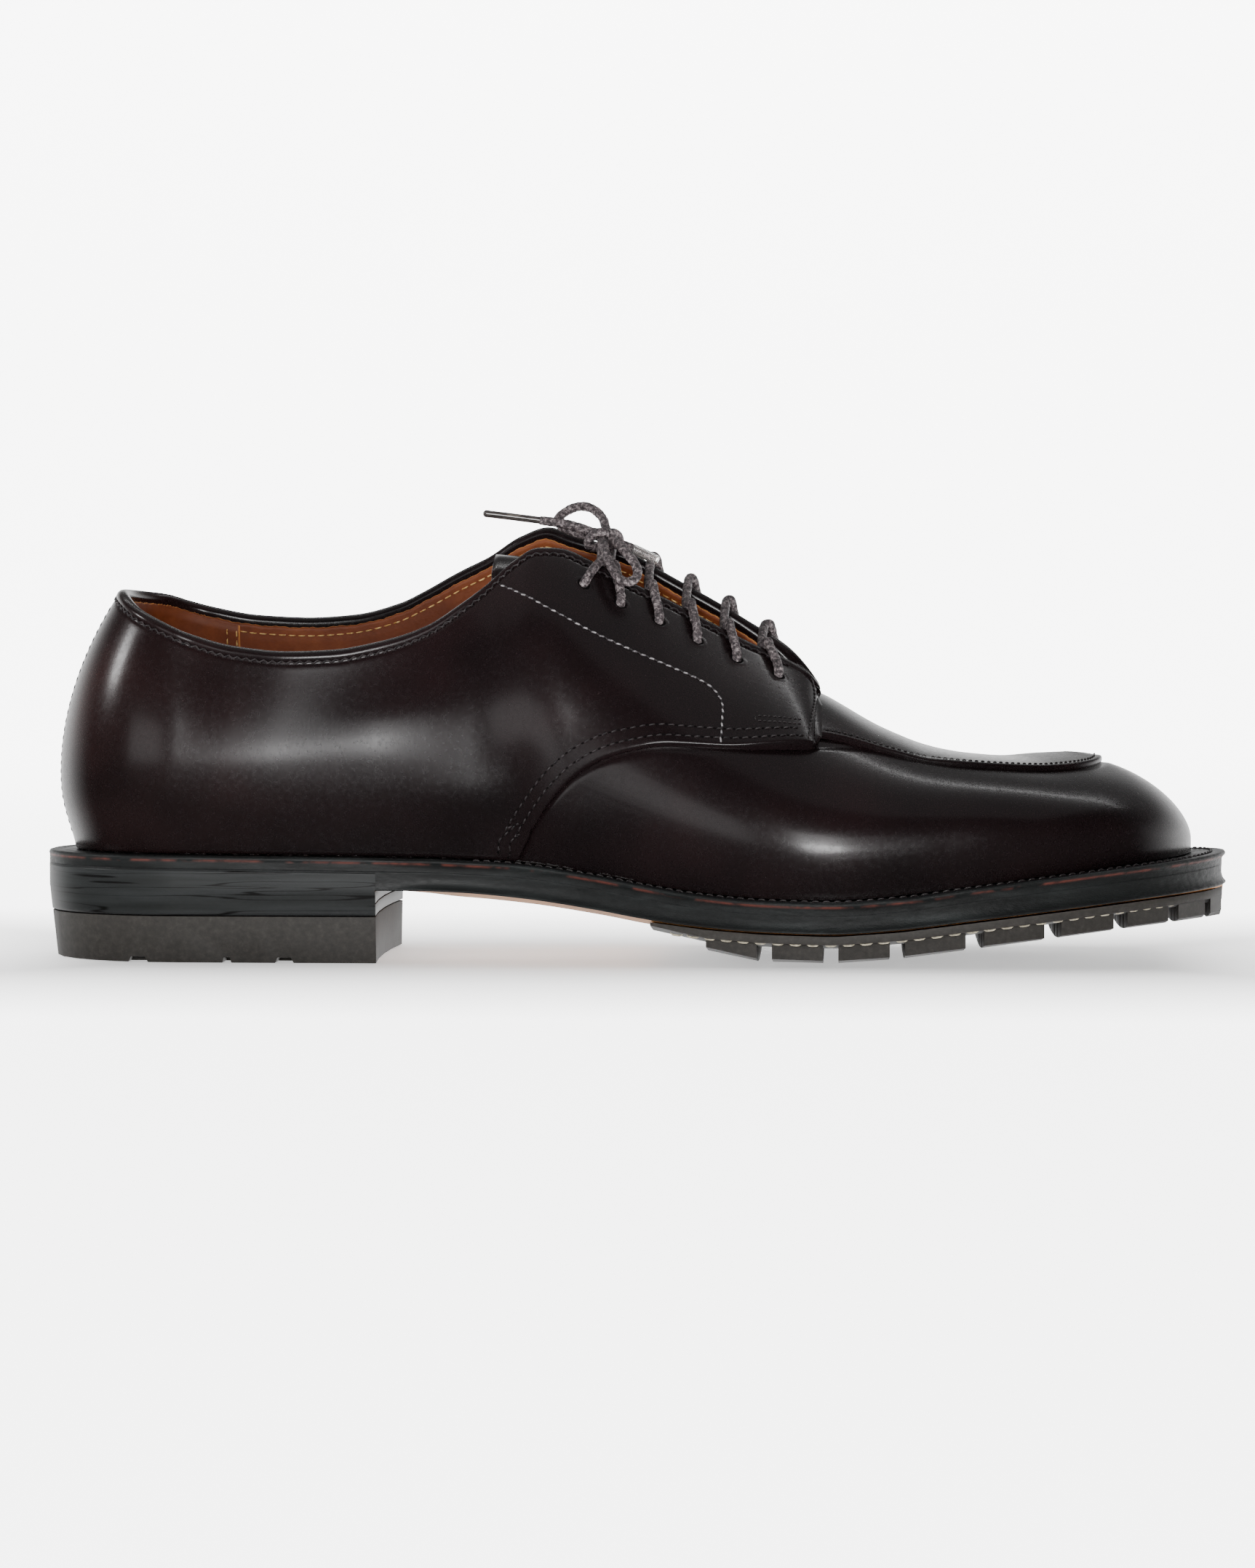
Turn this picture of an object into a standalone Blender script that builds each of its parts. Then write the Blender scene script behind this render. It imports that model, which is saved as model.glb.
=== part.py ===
"""Apron toe derby, a right shoe standing empty on its sole.

The toe points along +X, the outer (little-toe) side faces -Y, the inner side +Y, up is +Z, and the
floor is z = 0. Every curved piece is a loft over one shoe plan: an ellipse fan round the heel, a
run of sections across the waist and ball, and an ellipse fan round the toe. Lengths are in metres.
Tables hold shares of the named size that their comment gives.
"""

import math

import bmesh
import bpy
import numpy as np

# Plan of the sole
SHOE_LENGTH = 0.307
BALL_WIDTH = 0.108
HEEL_ROUND = 0.0385  # heel's back to the widest line of the seat
TOE_ROUND = 0.0800  # toe tip to the line where the toe starts to turn
TOE_SWING = 0.005  # the tip lies this far towards the big toe

# Heights of the bottom
TOP_PIECE_HEIGHT = 0.0122  # rubber of the heel
LIFT_HEIGHT = 0.0032  # each of two leather lifts
MIDSOLE_THICKNESS = 0.0048
WELT_THICKNESS = 0.0032
RUBBER_THICKNESS = 0.0020  # plate of the half sole
LUG_HEIGHT = 0.0037
CAMBER = 0.0039  # drop of the bottom's middle below its edge, at the ball
TOE_SPRING = 0.0097

# Sole edge, welt and heel details
WELT_WIDTH = 0.0170
LIP = 0.0009  # how far the edge's two lips stand out of its hollow
HEEL_TAPER = 0.0020  # heel base inside the seat, each side
BREAST_X = -0.0640
BREAST_HOLLOW = 0.0013
NOTCH_HEIGHT = 0.0014
NOTCH_DEPTH = 0.0090
LUG_START = 0.0200  # x of the first lug
HALF_SOLE_START = 0.0060  # x of the rubber's feathered back edge

# Upper
INSTEP_HEIGHT = 0.0887  # height over the welt that the upper's tables are shares of
WALL = 0.0020
OVERLAY = 0.0012  # step at the quarter's and the apron's edge
STEP_RUN = 0.0006  # slope of that step along the surface
COLLAR_BACK = 0.0195  # collar's back edge in front of the sole's back
RIDGE_SHIFT = 0.0035  # vamp's ridge, towards the big toe
TOE_POLE_X = 0.1120  # where the toe's sections meet on the ridge
THROAT_X = 0.0470
QUARTER_FOOT_X = -0.0290  # where the quarter's front edge reaches the welt
APRON_FRONT_X = 0.1215
EYELETS = 6
EYELET_DIAMETER = 0.0032
EYELET_FIRST_X = -0.0112
EYELET_LAST_X = 0.0379
EYELET_SETBACK = 0.0100  # from the facing's edge, along the leather

# Tongue, insole and fits
TONGUE_THICKNESS = 0.0018
TONGUE_HALF_WIDTH = 0.0155
TONGUE_ROOT_TAPER = 0.25
TONGUE_TIP_X = -0.0360
TONGUE_ROOT_X = 0.0560
TONGUE_Y = 0.0010
TONGUE_ARCH = 24.0  # drop per squared distance from its middle, 1/m
TONGUE_GAP = 0.0011  # under the facings
INSOLE_THICKNESS = 0.0034
CLEARANCE = 0.0003

# Lace
LACE_DIAMETER = 0.0022
LACE_FIT = 0.0005  # clear of the leather
KNOT_DIAMETER = 0.0062
CLIMB_LEAN = 0.42  # a lace's lean back over its climb on the facing
TOP_LEAN = -0.2  # the same from the top eyelets, towards the knot

HEEL_X = -SHOE_LENGTH / 2 + HEEL_ROUND
TOE_X = SHOE_LENGTH / 2 - TOE_ROUND
HEEL_HEIGHT = TOP_PIECE_HEIGHT + 2 * LIFT_HEIGHT
BALL_LIFT = LUG_HEIGHT + RUBBER_THICKNESS + CAMBER
SOLE_EDGE = MIDSOLE_THICKNESS + WELT_THICKNESS

# Shares of the shoe's columns, and how square and pointed its two fans are
HEEL_SHARE = 0.20
TOE_SHARE = 0.72
HEEL_COLUMNS = 7
TOE_COLUMNS = 9
HEEL_SQUARENESS = 0.94
TOE_POINT = 1.0
FACING_SHARE = 0.88

# Half widths of the sole, shares of BALL_WIDTH; along is a share of SHOE_LENGTH from the heel's back
PLAN = np.array(
    [
        # along, outer, inner
        (0.125, 0.320, 0.320),
        (0.207, 0.323, 0.315),
        (0.291, 0.323, 0.301),
        (0.370, 0.329, 0.274),
        (0.451, 0.366, 0.274),
        (0.533, 0.440, 0.338),
        (0.614, 0.509, 0.421),
        (0.663, 0.528, 0.458),
        (0.728, 0.517, 0.472),
        (0.754, 0.505, 0.470),
    ]
)
# Shift across that brings the sole's middle to y = 0
CENTRE_Y = BALL_WIDTH * (PLAN[:, 1].max() - PLAN[:, 2].max()) / 2

# Height of the sole's lower edge over the ball: heel is a share of the rise to the heel, toe of
# TOE_SPRING; edge is a share of SOLE_EDGE and camber of CAMBER
PROFILE = np.array(
    [
        # along, heel, toe, edge, camber
        (0.000, 1.000, 0.000, 1.125, 0.00),
        (0.160, 1.000, 0.000, 1.080, 0.00),
        (0.290, 1.000, 0.000, 1.020, 0.00),
        (0.325, 1.000, 0.000, 1.000, 0.45),
        (0.360, 0.960, 0.000, 1.000, 0.72),
        (0.418, 0.800, 0.000, 1.060, 0.78),
        (0.476, 0.530, 0.000, 1.060, 0.82),
        (0.515, 0.320, 0.000, 1.040, 0.90),
        (0.555, 0.160, 0.000, 0.990, 0.96),
        (0.611, 0.040, 0.000, 0.960, 1.00),
        (0.667, 0.000, 0.000, 0.970, 1.00),
        (0.723, 0.000, 0.113, 0.970, 1.00),
        (0.779, 0.000, 0.330, 1.000, 0.95),
        (0.836, 0.000, 0.536, 1.020, 0.85),
        (0.917, 0.000, 0.800, 1.030, 0.70),
        (1.000, 0.000, 1.000, 1.060, 0.55),
    ]
)

# Upper's foot inside the sole's edge, shares of WELT_WIDTH
INSET = np.array(
    [
        # along, inset
        (0.000, 0.50),
        (0.060, 0.41),
        (0.200, 0.36),
        (0.380, 0.37),
        (0.440, 0.33),
        (0.700, 0.36),
        (0.900, 0.44),
        (1.000, 0.52),
    ]
)

# Fullest line of the side: out is its overhang past the upper's foot and up its height over the
# welt, shares of INSTEP_HEIGHT; low and high are the lengths of the curve's two handles
BULGE = np.array(
    [
        # along, out_outer, out_inner, up, low, high
        (0.024, 0.045, 0.045, 0.220, 0.38, 0.28),
        (0.125, 0.030, 0.030, 0.240, 0.36, 0.30),
        (0.291, 0.022, 0.016, 0.260, 0.38, 0.34),
        (0.420, 0.028, 0.010, 0.250, 0.36, 0.34),
        (0.500, 0.020, 0.010, 0.200, 0.34, 0.34),
        (0.620, 0.012, 0.012, 0.130, 0.32, 0.34),
        (0.700, 0.010, 0.010, 0.115, 0.31, 0.42),
        (0.780, 0.008, 0.008, 0.105, 0.30, 0.50),
        (0.900, 0.005, 0.005, 0.070, 0.26, 0.48),
        (0.971, 0.000, 0.000, 0.035, 0.22, 0.45),
    ]
)

# Collar and facings: y is a share of BALL_WIDTH, height a share of INSTEP_HEIGHT over the welt,
# lean the slope of the leather at its edge in degrees
OUTER_EDGE = np.array(
    [
        # along, y, height, lean
        (0.0635, 0.222, 0.766, 56),
        (0.084, 0.222, 0.711, 66),
        (0.107, 0.222, 0.670, 74),
        (0.132, 0.222, 0.633, 77),
        (0.173, 0.241, 0.597, 80),
        (0.213, 0.250, 0.585, 80),
        (0.252, 0.245, 0.591, 80),
        (0.291, 0.231, 0.617, 77),
        (0.330, 0.208, 0.666, 70),
        (0.362, 0.182, 0.744, 62),
        (0.382, 0.158, 0.802, 55),
        (0.403, 0.131, 0.870, 46),
        (0.422, 0.110, 0.912, 39),
        (0.440, 0.097, 0.917, 34),
        (0.460, 0.088, 0.899, 32),
        (0.489, 0.080, 0.861, 31),
        (0.534, 0.075, 0.811, 30),
        (0.569, 0.072, 0.762, 29),
        (0.604, 0.067, 0.706, 27),
        (0.623, 0.064, 0.672, 25),
        (0.644, 0.060, 0.624, 21),
        (0.653, 0.056, 0.582, 18),
    ]
)
INNER_EDGE = np.array(
    [
        # along, y, height, lean
        (0.0635, 0.222, 0.766, 56),
        (0.089, 0.222, 0.753, 66),
        (0.108, 0.222, 0.733, 72),
        (0.128, 0.222, 0.715, 76),
        (0.169, 0.227, 0.690, 80),
        (0.211, 0.228, 0.684, 80),
        (0.252, 0.227, 0.694, 80),
        (0.294, 0.218, 0.733, 77),
        (0.315, 0.208, 0.769, 74),
        (0.350, 0.188, 0.838, 69),
        (0.372, 0.172, 0.879, 66),
        (0.400, 0.148, 0.944, 63),
        (0.426, 0.128, 0.978, 60),
        (0.446, 0.118, 0.962, 58),
        (0.469, 0.112, 0.952, 56),
        (0.497, 0.107, 0.934, 54),
        (0.516, 0.102, 0.906, 52),
        (0.547, 0.095, 0.863, 48),
        (0.578, 0.088, 0.813, 44),
        (0.609, 0.079, 0.749, 40),
        (0.625, 0.074, 0.708, 36),
        (0.640, 0.069, 0.651, 30),
        (0.653, 0.064, 0.585, 20),
    ]
)

# Ridge of the vamp over the welt, and the quarter's lower edge, shares of INSTEP_HEIGHT
RIDGE = np.array(
    [
        # along, height
        (0.653, 0.585),
        (0.676, 0.538),
        (0.704, 0.475),
        (0.723, 0.440),
        (0.742, 0.406),
        (0.761, 0.379),
        (0.779, 0.360),
        (0.817, 0.337),
        (0.836, 0.335),
        (0.865, 0.329),
    ]
)
QUARTER_FOOT = np.array(
    [
        # along, height
        (0.4055, 0.000),
        (0.416, 0.075),
        (0.428, 0.142),
        (0.442, 0.213),
        (0.458, 0.275),
        (0.480, 0.331),
        (0.503, 0.370),
        (0.538, 0.406),
        (0.572, 0.413),
        (0.640, 0.422),
        (0.653, 0.417),
    ]
)
# Half width of the apron from the ridge, shares of BALL_WIDTH
APRON = np.array(
    [
        # along, half
        (0.653, 0.318),
        (0.690, 0.290),
        (0.725, 0.278),
        (0.740, 0.276),
    ]
)

# Middle of the tongue over the welt, shares of INSTEP_HEIGHT
TONGUE = np.array(
    [
        # along, height
        (0.383, 0.884),
        (0.402, 0.882),
        (0.435, 0.874),
        (0.467, 0.853),
        (0.500, 0.822),
        (0.533, 0.783),
        (0.565, 0.739),
        (0.598, 0.690),
        (0.624, 0.634),
        (0.640, 0.572),
        (0.653, 0.532),
        (0.682, 0.475),
    ]
)

# Notches in the heel's lower edge and lugs of the half sole, shares of SHOE_LENGTH
HEEL_NOTCHES = np.array(
    [
        # along, width
        (0.046, 0.011),
        (0.092, 0.021),
        (0.167, 0.009),
        (0.215, 0.019),
    ]
)
LUG_ROWS = 9
LUG_SHARE = 0.77  # of a row's pitch, the rest is groove
# Lines across the half sole, shares of its half width: a lug lies between lines 1 and 2, and so on
LUG_LINES = (-1.0, -0.93, -0.60, -0.54, -0.27, -0.21, 0.21, 0.27, 0.54, 0.60, 0.93, 1.0)

# A lace over a facing: distance from its edge as a share of EYELET_SETBACK less shares of the lace's
# clearance, and height over its outer face as a share of that clearance less a share of WALL
FACING_CLIMB = np.array(
    [
        # setback, beyond, over, under
        (1.00, 0.0, 1.0, 0.0),
        (0.72, 0.0, 1.0, 0.0),
        (0.44, 0.0, 1.0, 0.0),
        (0.20, 0.0, 1.0, 0.0),
        (0.04, 0.0, 1.0, 0.0),
        (0.00, 1.0, 0.8, 0.0),
        (0.00, 1.5, 0.0, 0.7),
    ]
)

# Routes of the bow in millimetres from the knot's middle: towards the toe, inwards, up
KNOT_PLACE = (-0.0084, 0.0010, 0.1087)
LOOP_FAR = (
    (0.6, 2.6, 2.9),
    (0.0, 4.6, 5.0),
    (-2.4, 6.6, 7.4),
    (-5.2, 7.6, 8.4),
    (-8.0, 7.2, 8.0),
    (-11.0, 6.0, 6.2),
    (-12.4, 5.0, 3.4),
    (-10.6, 4.2, 0.9),
    (-7.2, 4.6, 0.7),
    (-3.9, 4.0, 0.9),
)
LOOP_NEAR = (
    (2.4, -3.4, 2.2),
    (1.8, -7.6, -0.6),
    (2.2, -12.2, -4.6),
    (3.6, -16.2, -8.4),
    (6.0, -19.0, -11.2),
    (8.4, -20.0, -11.8),
    (9.7, -19.0, -10.2),
    (9.2, -16.4, -7.2),
    (7.6, -13.0, -4.0),
    (6.0, -9.0, -1.4),
    (4.8, -5.0, 0.4),
)
END_BACK = (
    (-3.5, 0.2, 2.0),
    (-6.6, 1.4, 3.0),
    (-10.8, 2.2, 3.9),
    (-15.2, 2.4, 4.4),
    (-23.0, 2.0, 5.4),
    (-31.2, 1.4, 6.4),
)
END_FRONT = (
    (4.0, 0.6, -1.2),
    (5.8, 0.4, -2.0),
    (7.4, 0.2, -2.6),
    (11.0, 0.4, -4.3),
    (14.6, 0.6, -6.1),
)


def curve_of(table, column, along):
    """A smooth column of a table that never overshoots its rows (cubic pieces, limited slopes)."""
    x = table[:, 0]
    y = table[:, column]
    run = np.diff(x)
    grade = np.diff(y) / run
    slope = np.zeros(len(x))
    same = grade[:-1] * grade[1:] > 0
    mean = (run[:-1] + run[1:]) * 3
    w1 = 2 * run[1:] + run[:-1]
    w2 = run[1:] + 2 * run[:-1]
    blend = w1 / np.where(same, grade[:-1], 1) + w2 / np.where(same, grade[1:], 1)
    slope[1:-1] = np.where(same, mean / blend, 0)
    slope[0], slope[-1] = grade[0], grade[-1]
    at = np.clip(np.asarray(along, float), x[0], x[-1])
    i = np.clip(np.searchsorted(x, at) - 1, 0, len(run) - 1)
    t = (at - x[i]) / run[i]
    rise = y[i] * (1 + 2 * t) * (1 - t) ** 2 + y[i + 1] * t * t * (3 - 2 * t)
    return rise + run[i] * (slope[i] * t * (1 - t) ** 2 - slope[i + 1] * t * t * (1 - t))


def along_of(x):
    """Share of the shoe's length, from the heel's back."""
    return np.asarray(x) / SHOE_LENGTH + 0.5


def bottom_z(x):
    """Height of the sole's lower edge."""
    a = along_of(x)
    heel = (HEEL_HEIGHT - BALL_LIFT) * curve_of(PROFILE, 1, a)
    return BALL_LIFT + heel + TOE_SPRING * curve_of(PROFILE, 2, a)


def welt_z(x):
    """Height of the welt's top."""
    return bottom_z(x) + SOLE_EDGE * curve_of(PROFILE, 3, along_of(x))


def plan_place(p):
    """Place along the shoe of p, from 0 at the heel's back to 1 at the toe's tip.

    Up to HEEL_SHARE p turns round the heel, after TOE_SHARE round the toe, and between them it runs
    straight. Gives x on the sole's edge, the sine of the heel's turn, and the cosine and the sine
    of the toe's turn.
    """
    p = np.asarray(p, float)
    heel = np.clip(p / HEEL_SHARE, -1, 1) * math.pi / 2
    toe = np.clip((p - TOE_SHARE) / (1 - TOE_SHARE), 0, 2) * math.pi / 2
    run = np.clip((p - HEEL_SHARE) / (TOE_SHARE - HEEL_SHARE), 0, 1)
    x = HEEL_X + (TOE_X - HEEL_X) * run
    x = x - HEEL_ROUND * np.cos(heel) + TOE_ROUND * np.sin(toe)
    return x, np.sin(heel), np.cos(toe), np.sin(toe)


def place_of_x(x):
    """The p of a section between the heel's fan and the toe's fan."""
    return HEEL_SHARE + (TOE_SHARE - HEEL_SHARE) * (np.asarray(x) - HEEL_X) / (TOE_X - HEEL_X)


def power(value, exponent):
    """A signed power, so that a fan runs on past its end."""
    return np.sign(value) * np.abs(value) ** exponent


def sole_edge(p, side):
    """Plan of the sole's edge on one side (-1 outer, 1 inner) as x, y.

    Half widths come from PLAN. They shrink with the sine round the heel and with the cosine round
    the toe, whose tip lies TOE_SWING off the middle line.
    """
    x, heel, toe, turn = plan_place(p)
    column = 1 if side < 0 else 2
    half = BALL_WIDTH * curve_of(PLAN, column, along_of(np.clip(x, HEEL_X, TOE_X)))
    y = side * half * power(heel, HEEL_SQUARENESS)
    swing = TOE_SWING * (1 - toe)
    return np.stack([x, swing + y * power(toe, TOE_POINT)], axis=-1)


def inset_edge(p, side, inset):
    """The sole's edge moved inwards by inset, square to itself."""
    step = 1e-4
    run = sole_edge(p + step, side) - sole_edge(p - step, side)
    run /= np.linalg.norm(run, axis=-1)[..., None]
    inward = np.stack([run[..., 1], -run[..., 0]], axis=-1) * side
    return sole_edge(p, side) + inward * np.asarray(inset)[..., None]


def plain_look(name, colour, roughness, metallic=0.0):
    """A plain Principled material."""
    material = bpy.data.materials.new(name)
    material.use_nodes = True
    shader = material.node_tree.nodes["Principled BSDF"]
    shader.inputs["Base Color"].default_value = (*colour, 1.0)
    shader.inputs["Roughness"].default_value = roughness
    shader.inputs["Metallic"].default_value = metallic
    return material


def add_solid(name, points, faces, look, smooth_angle=40.0):
    """A closed body from points and faces: equal points are merged and faces are turned outwards."""
    bm = bmesh.new()
    verts = [bm.verts.new((x, y + CENTRE_Y, z)) for x, y, z in points]
    for face in faces:
        bm.faces.new([verts[i] for i in face])
    bmesh.ops.remove_doubles(bm, verts=bm.verts, dist=2e-6)
    bmesh.ops.dissolve_degenerate(bm, edges=bm.edges, dist=1e-7)
    bmesh.ops.triangulate(bm, faces=bm.faces)
    bmesh.ops.recalc_face_normals(bm, faces=bm.faces)
    mesh = bpy.data.meshes.new(name)
    bm.to_mesh(mesh)
    bm.free()
    mesh.shade_smooth()
    mesh.set_sharp_from_angle(angle=math.radians(smooth_angle))
    mesh.materials.append(look)
    solid = bpy.data.objects.new(name, mesh)
    shoe_collection().objects.link(solid)
    return solid


def shoe_collection():
    name = "apron_toe_derby"
    if name not in bpy.data.collections:
        bpy.context.scene.collection.children.link(bpy.data.collections.new(name))
    return bpy.data.collections[name]


def cutter_collection():
    name = "cutters"
    if name not in bpy.data.collections:
        bpy.context.scene.collection.children.link(bpy.data.collections.new(name))
    return bpy.data.collections[name]


def loft(name, loops, look, round_trip=False, smooth_angle=40.0):
    """Closed loops of equal count joined in order; flat ends unless the run closes on itself."""
    loops = np.asarray(loops)
    rows, count = loops.shape[:2]
    points = loops.reshape(-1, 3)
    last = rows if round_trip else rows - 1
    faces = []
    for i in range(last):
        here, ahead = i * count, (i + 1) % rows * count
        faces += [(here + j, here + (j + 1) % count, ahead + (j + 1) % count, ahead + j) for j in range(count)]
    if not round_trip:
        for i in (0, rows - 1):
            if np.ptp(loops[i][:, 1]) > 1e-6:
                faces.append(tuple(range(i * count, (i + 1) * count)))
    return add_solid(name, points, faces, look, smooth_angle)


def cut(solid, name, points, faces):
    """Takes a hidden cutter's volume out of a solid."""
    cutter = add_solid(name, points, faces, solid.data.materials[0])
    shoe_collection().objects.unlink(cutter)
    cutter_collection().objects.link(cutter)
    cutter.hide_render = True
    cutter.display_type = "WIRE"
    difference = solid.modifiers.new(name, "BOOLEAN")
    difference.operation = "DIFFERENCE"
    difference.object = cutter
    return cutter


def upper_inset(p):
    x = plan_place(p)[0]
    return WELT_WIDTH * curve_of(INSET, 1, along_of(x))


def upper_foot(p, side):
    """The upper's lower edge on the welt."""
    xy = inset_edge(p, side, upper_inset(p))
    return np.concatenate([xy, (welt_z(xy[..., 0]) + CLEARANCE)[..., None]], axis=-1)


def upper_bulge(p, side, foot):
    """The fullest line of the side."""
    along = along_of(foot[..., 0])
    out = INSTEP_HEIGHT * curve_of(BULGE, 1 if side < 0 else 2, along)
    xy = inset_edge(p, side, upper_inset(p) - out)
    z = foot[..., 2] + INSTEP_HEIGHT * curve_of(BULGE, 3, along)
    return np.concatenate([xy, z[..., None]], axis=-1)


def ridge_point(x):
    """The vamp's ridge at x."""
    share = np.clip((x - THROAT_X) / (TOE_POLE_X - THROAT_X), 0, 1)
    y = RIDGE_SHIFT + (TOE_SWING - RIDGE_SHIFT) * share
    z = welt_z(x) + INSTEP_HEIGHT * curve_of(RIDGE, 1, along_of(x)) - OVERLAY
    return np.stack([x, y, z], axis=-1)


def upper_head(p, side, vamp):
    """Upper end of a section and the slope there: the collar or facing, or the vamp's ridge."""
    x, heel, toe, turn = plan_place(p)
    back = (HEEL_ROUND - COLLAR_BACK) * np.sqrt(np.clip(1 - heel**2, 0, None))
    at = np.where(x < HEEL_X, HEEL_X - back, x)
    table = OUTER_EDGE if side < 0 else INNER_EDGE
    along = along_of(at)
    half = BALL_WIDTH * curve_of(table, 1, along)
    z = welt_z(at) + INSTEP_HEIGHT * curve_of(table, 2, along)
    edge = np.stack([at, side * half * power(heel, HEEL_SQUARENESS), z], axis=-1)
    lean = np.radians(curve_of(table, 3, along))
    inward = inset_edge(p, side, np.ones_like(p)) - sole_edge(p, side)
    edge[..., :2] += OVERLAY * np.sin(lean)[..., None] * inward
    edge[..., 2] -= OVERLAY * np.cos(lean)
    ridge = ridge_point(np.where(turn > 0, TOE_X + (TOE_POLE_X - TOE_X) * turn, x))
    vamp = np.broadcast_to(vamp, np.shape(p))
    return np.where(vamp[..., None], ridge, edge), np.where(vamp, 0.0, lean)


def section(p, side, vamp):
    """Sections of the upper's outside, from its foot to its head, as fine rows of points.

    Two cubic curves meet upright at the fullest line: the lower one leaves the foot, the upper one
    ends at the head with the slope that the head gives.
    """
    p = np.asarray(p, float)
    foot = upper_foot(p, side)
    full = upper_bulge(p, side, foot)
    head, lean = upper_head(p, side, vamp)
    inward = inset_edge(p, side, np.ones_like(p)) - sole_edge(p, side)
    into = np.concatenate([inward * np.cos(lean)[..., None], np.sin(lean)[..., None]], axis=-1)
    up = np.array([0.0, 0.0, 1.0])
    rise = np.linalg.norm(full - foot, axis=-1)[..., None]
    reach = np.linalg.norm(head - full, axis=-1)[..., None]
    along = along_of(foot[..., 0])
    low = curve_of(BULGE, 4, along)[..., None]
    high = curve_of(BULGE, 5, along)[..., None]
    t = np.linspace(0, 1, 33)[:, None]
    lower = cubic(foot, foot + (full - foot) * 0.4, full - up * rise * 0.45, full, t)
    upper = cubic(full, full + up * reach * low, head - into * reach * high, head, t)
    return np.concatenate([lower, upper[..., 1:, :]], axis=-2)


def cubic(a, b, c, d, t):
    """A cubic Bezier curve for each row of control points, at the shares t."""
    a, b, c, d = (q[..., None, :] for q in (a, b, c, d))
    return a * (1 - t) ** 3 + 3 * b * t * (1 - t) ** 2 + 3 * c * t * t * (1 - t) + d * t**3


def at_share(rows, share):
    """Points at shares of the length of each row of points."""
    step = np.linalg.norm(np.diff(rows, axis=-2), axis=-1)
    run = np.concatenate([np.zeros((*step.shape[:-1], 1)), np.cumsum(step, axis=-1)], axis=-1)
    run /= run[..., -1:]
    out = np.empty((len(rows), share.shape[-1], 3))
    for i in range(len(rows)):
        for k in range(3):
            out[i, :, k] = np.interp(share[i], run[i], rows[i, :, k])
    return out


def outside(p, side, vamp, share):
    """Points and outward normals of the last's outside at places p and shares of each section."""
    step_p, step_v = 1e-3, 4e-3
    share = np.broadcast_to(share, (len(p), np.shape(share)[-1]))
    here = at_share(section(p, side, vamp), share)
    safe = np.clip(share, 0.01, 0.985)
    ahead = at_share(section(p + step_p, side, vamp), safe)
    along_p = ahead - at_share(section(p - step_p, side, vamp), safe)
    rows = section(p, side, vamp)
    along_v = at_share(rows, safe + step_v) - at_share(rows, safe - step_v)
    normal = np.cross(along_p, along_v) * -side
    normal /= np.linalg.norm(normal, axis=-1)[..., None]
    return here, normal


def overlay_line(p, side, vamp):
    """Share of each section at which the quarter's or the apron's lower edge crosses it."""
    rows = section(p, side, vamp)
    x, y, z = rows[..., 0], rows[..., 1], rows[..., 2]
    ridge_y = ridge_point(x)[..., 1]
    half = BALL_WIDTH * curve_of(APRON, 1, along_of(x))
    ahead = np.clip((x - TOE_X) / (APRON_FRONT_X - TOE_X), 0, None)
    apron = 1 - ((y - ridge_y) / half) ** 2 - ahead**2
    foot = INSTEP_HEIGHT * curve_of(QUARTER_FOOT, 1, along_of(x))
    quarter = z - welt_z(x) - foot
    inside = np.where(np.broadcast_to(vamp, np.shape(p))[:, None], apron, quarter)
    step = np.linalg.norm(np.diff(rows, axis=-2), axis=-1)
    run = np.concatenate([np.zeros((len(rows), 1)), np.cumsum(step, axis=-1)], axis=-1)
    first = np.argmax(inside > 0, axis=-1)
    pick = np.arange(len(rows))
    before = np.clip(first - 1, 0, None)
    a, b = inside[pick, before], inside[pick, first]
    t = np.where(first > 0, -a / np.where(b - a == 0, 1, b - a), 0)
    at = run[pick, before] * (1 - t) + run[pick, first] * t
    return np.clip(at / run[:, -1], 0.06, 0.97), run[:, -1]


def ramp(x, start, end):
    """A soft step from 0 at start to 1 at end."""
    t = np.clip((x - start) / (end - start), 0, 1)
    return t * t * (3 - 2 * t)


def upper_columns():
    """Places of the upper's columns and which of them belong to the vamp, in front of the throat."""
    heel = np.linspace(0, HEEL_SHARE, HEEL_COLUMNS + 1)[:-1]
    back = place_of_x(np.linspace(HEEL_X, QUARTER_FOOT_X - 0.002, 9))
    quarter = place_of_x(np.linspace(QUARTER_FOOT_X + 0.001, THROAT_X - STEP_RUN, 10))
    vamp = place_of_x(np.linspace(THROAT_X, TOE_X, 5)[:-1])
    toe = np.linspace(TOE_SHARE, 1, TOE_COLUMNS + 1)
    p = np.concatenate([heel, back, quarter, vamp, toe])
    return p, p >= place_of_x(THROAT_X)


def upper_side(side):
    """Outer and inner points of one side of the upper, as columns of rows."""
    p, vamp = upper_columns()
    line, length = overlay_line(p, side, vamp)
    facing = np.where(vamp, FACING_SHARE, 1.0)
    low = line[:, None] * np.array([0.0, 0.3, 0.65, 1.0])
    start = line + STEP_RUN / length
    high = start[:, None] + (facing - start)[:, None] * np.linspace(0, 1, 7)
    top = facing[:, None] + (1 - facing)[:, None] * np.array([0.5, 1.0])
    share = np.concatenate([low, high, top], axis=1)
    points, normal = outside(p, side, vamp, share)
    x = points[..., 0]
    below = OVERLAY * (1 - ramp(x, QUARTER_FOOT_X - 0.002, QUARTER_FOOT_X))
    over_apron = np.where(vamp[:, None], 0.0, ramp(x, THROAT_X - 0.022, THROAT_X - 0.004))
    above = OVERLAY * (1 + over_apron)
    is_low = np.arange(share.shape[1]) < 4
    lift = np.where(is_low, np.where(vamp[:, None], 0.0, below), above)
    return points, normal, lift, vamp


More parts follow.
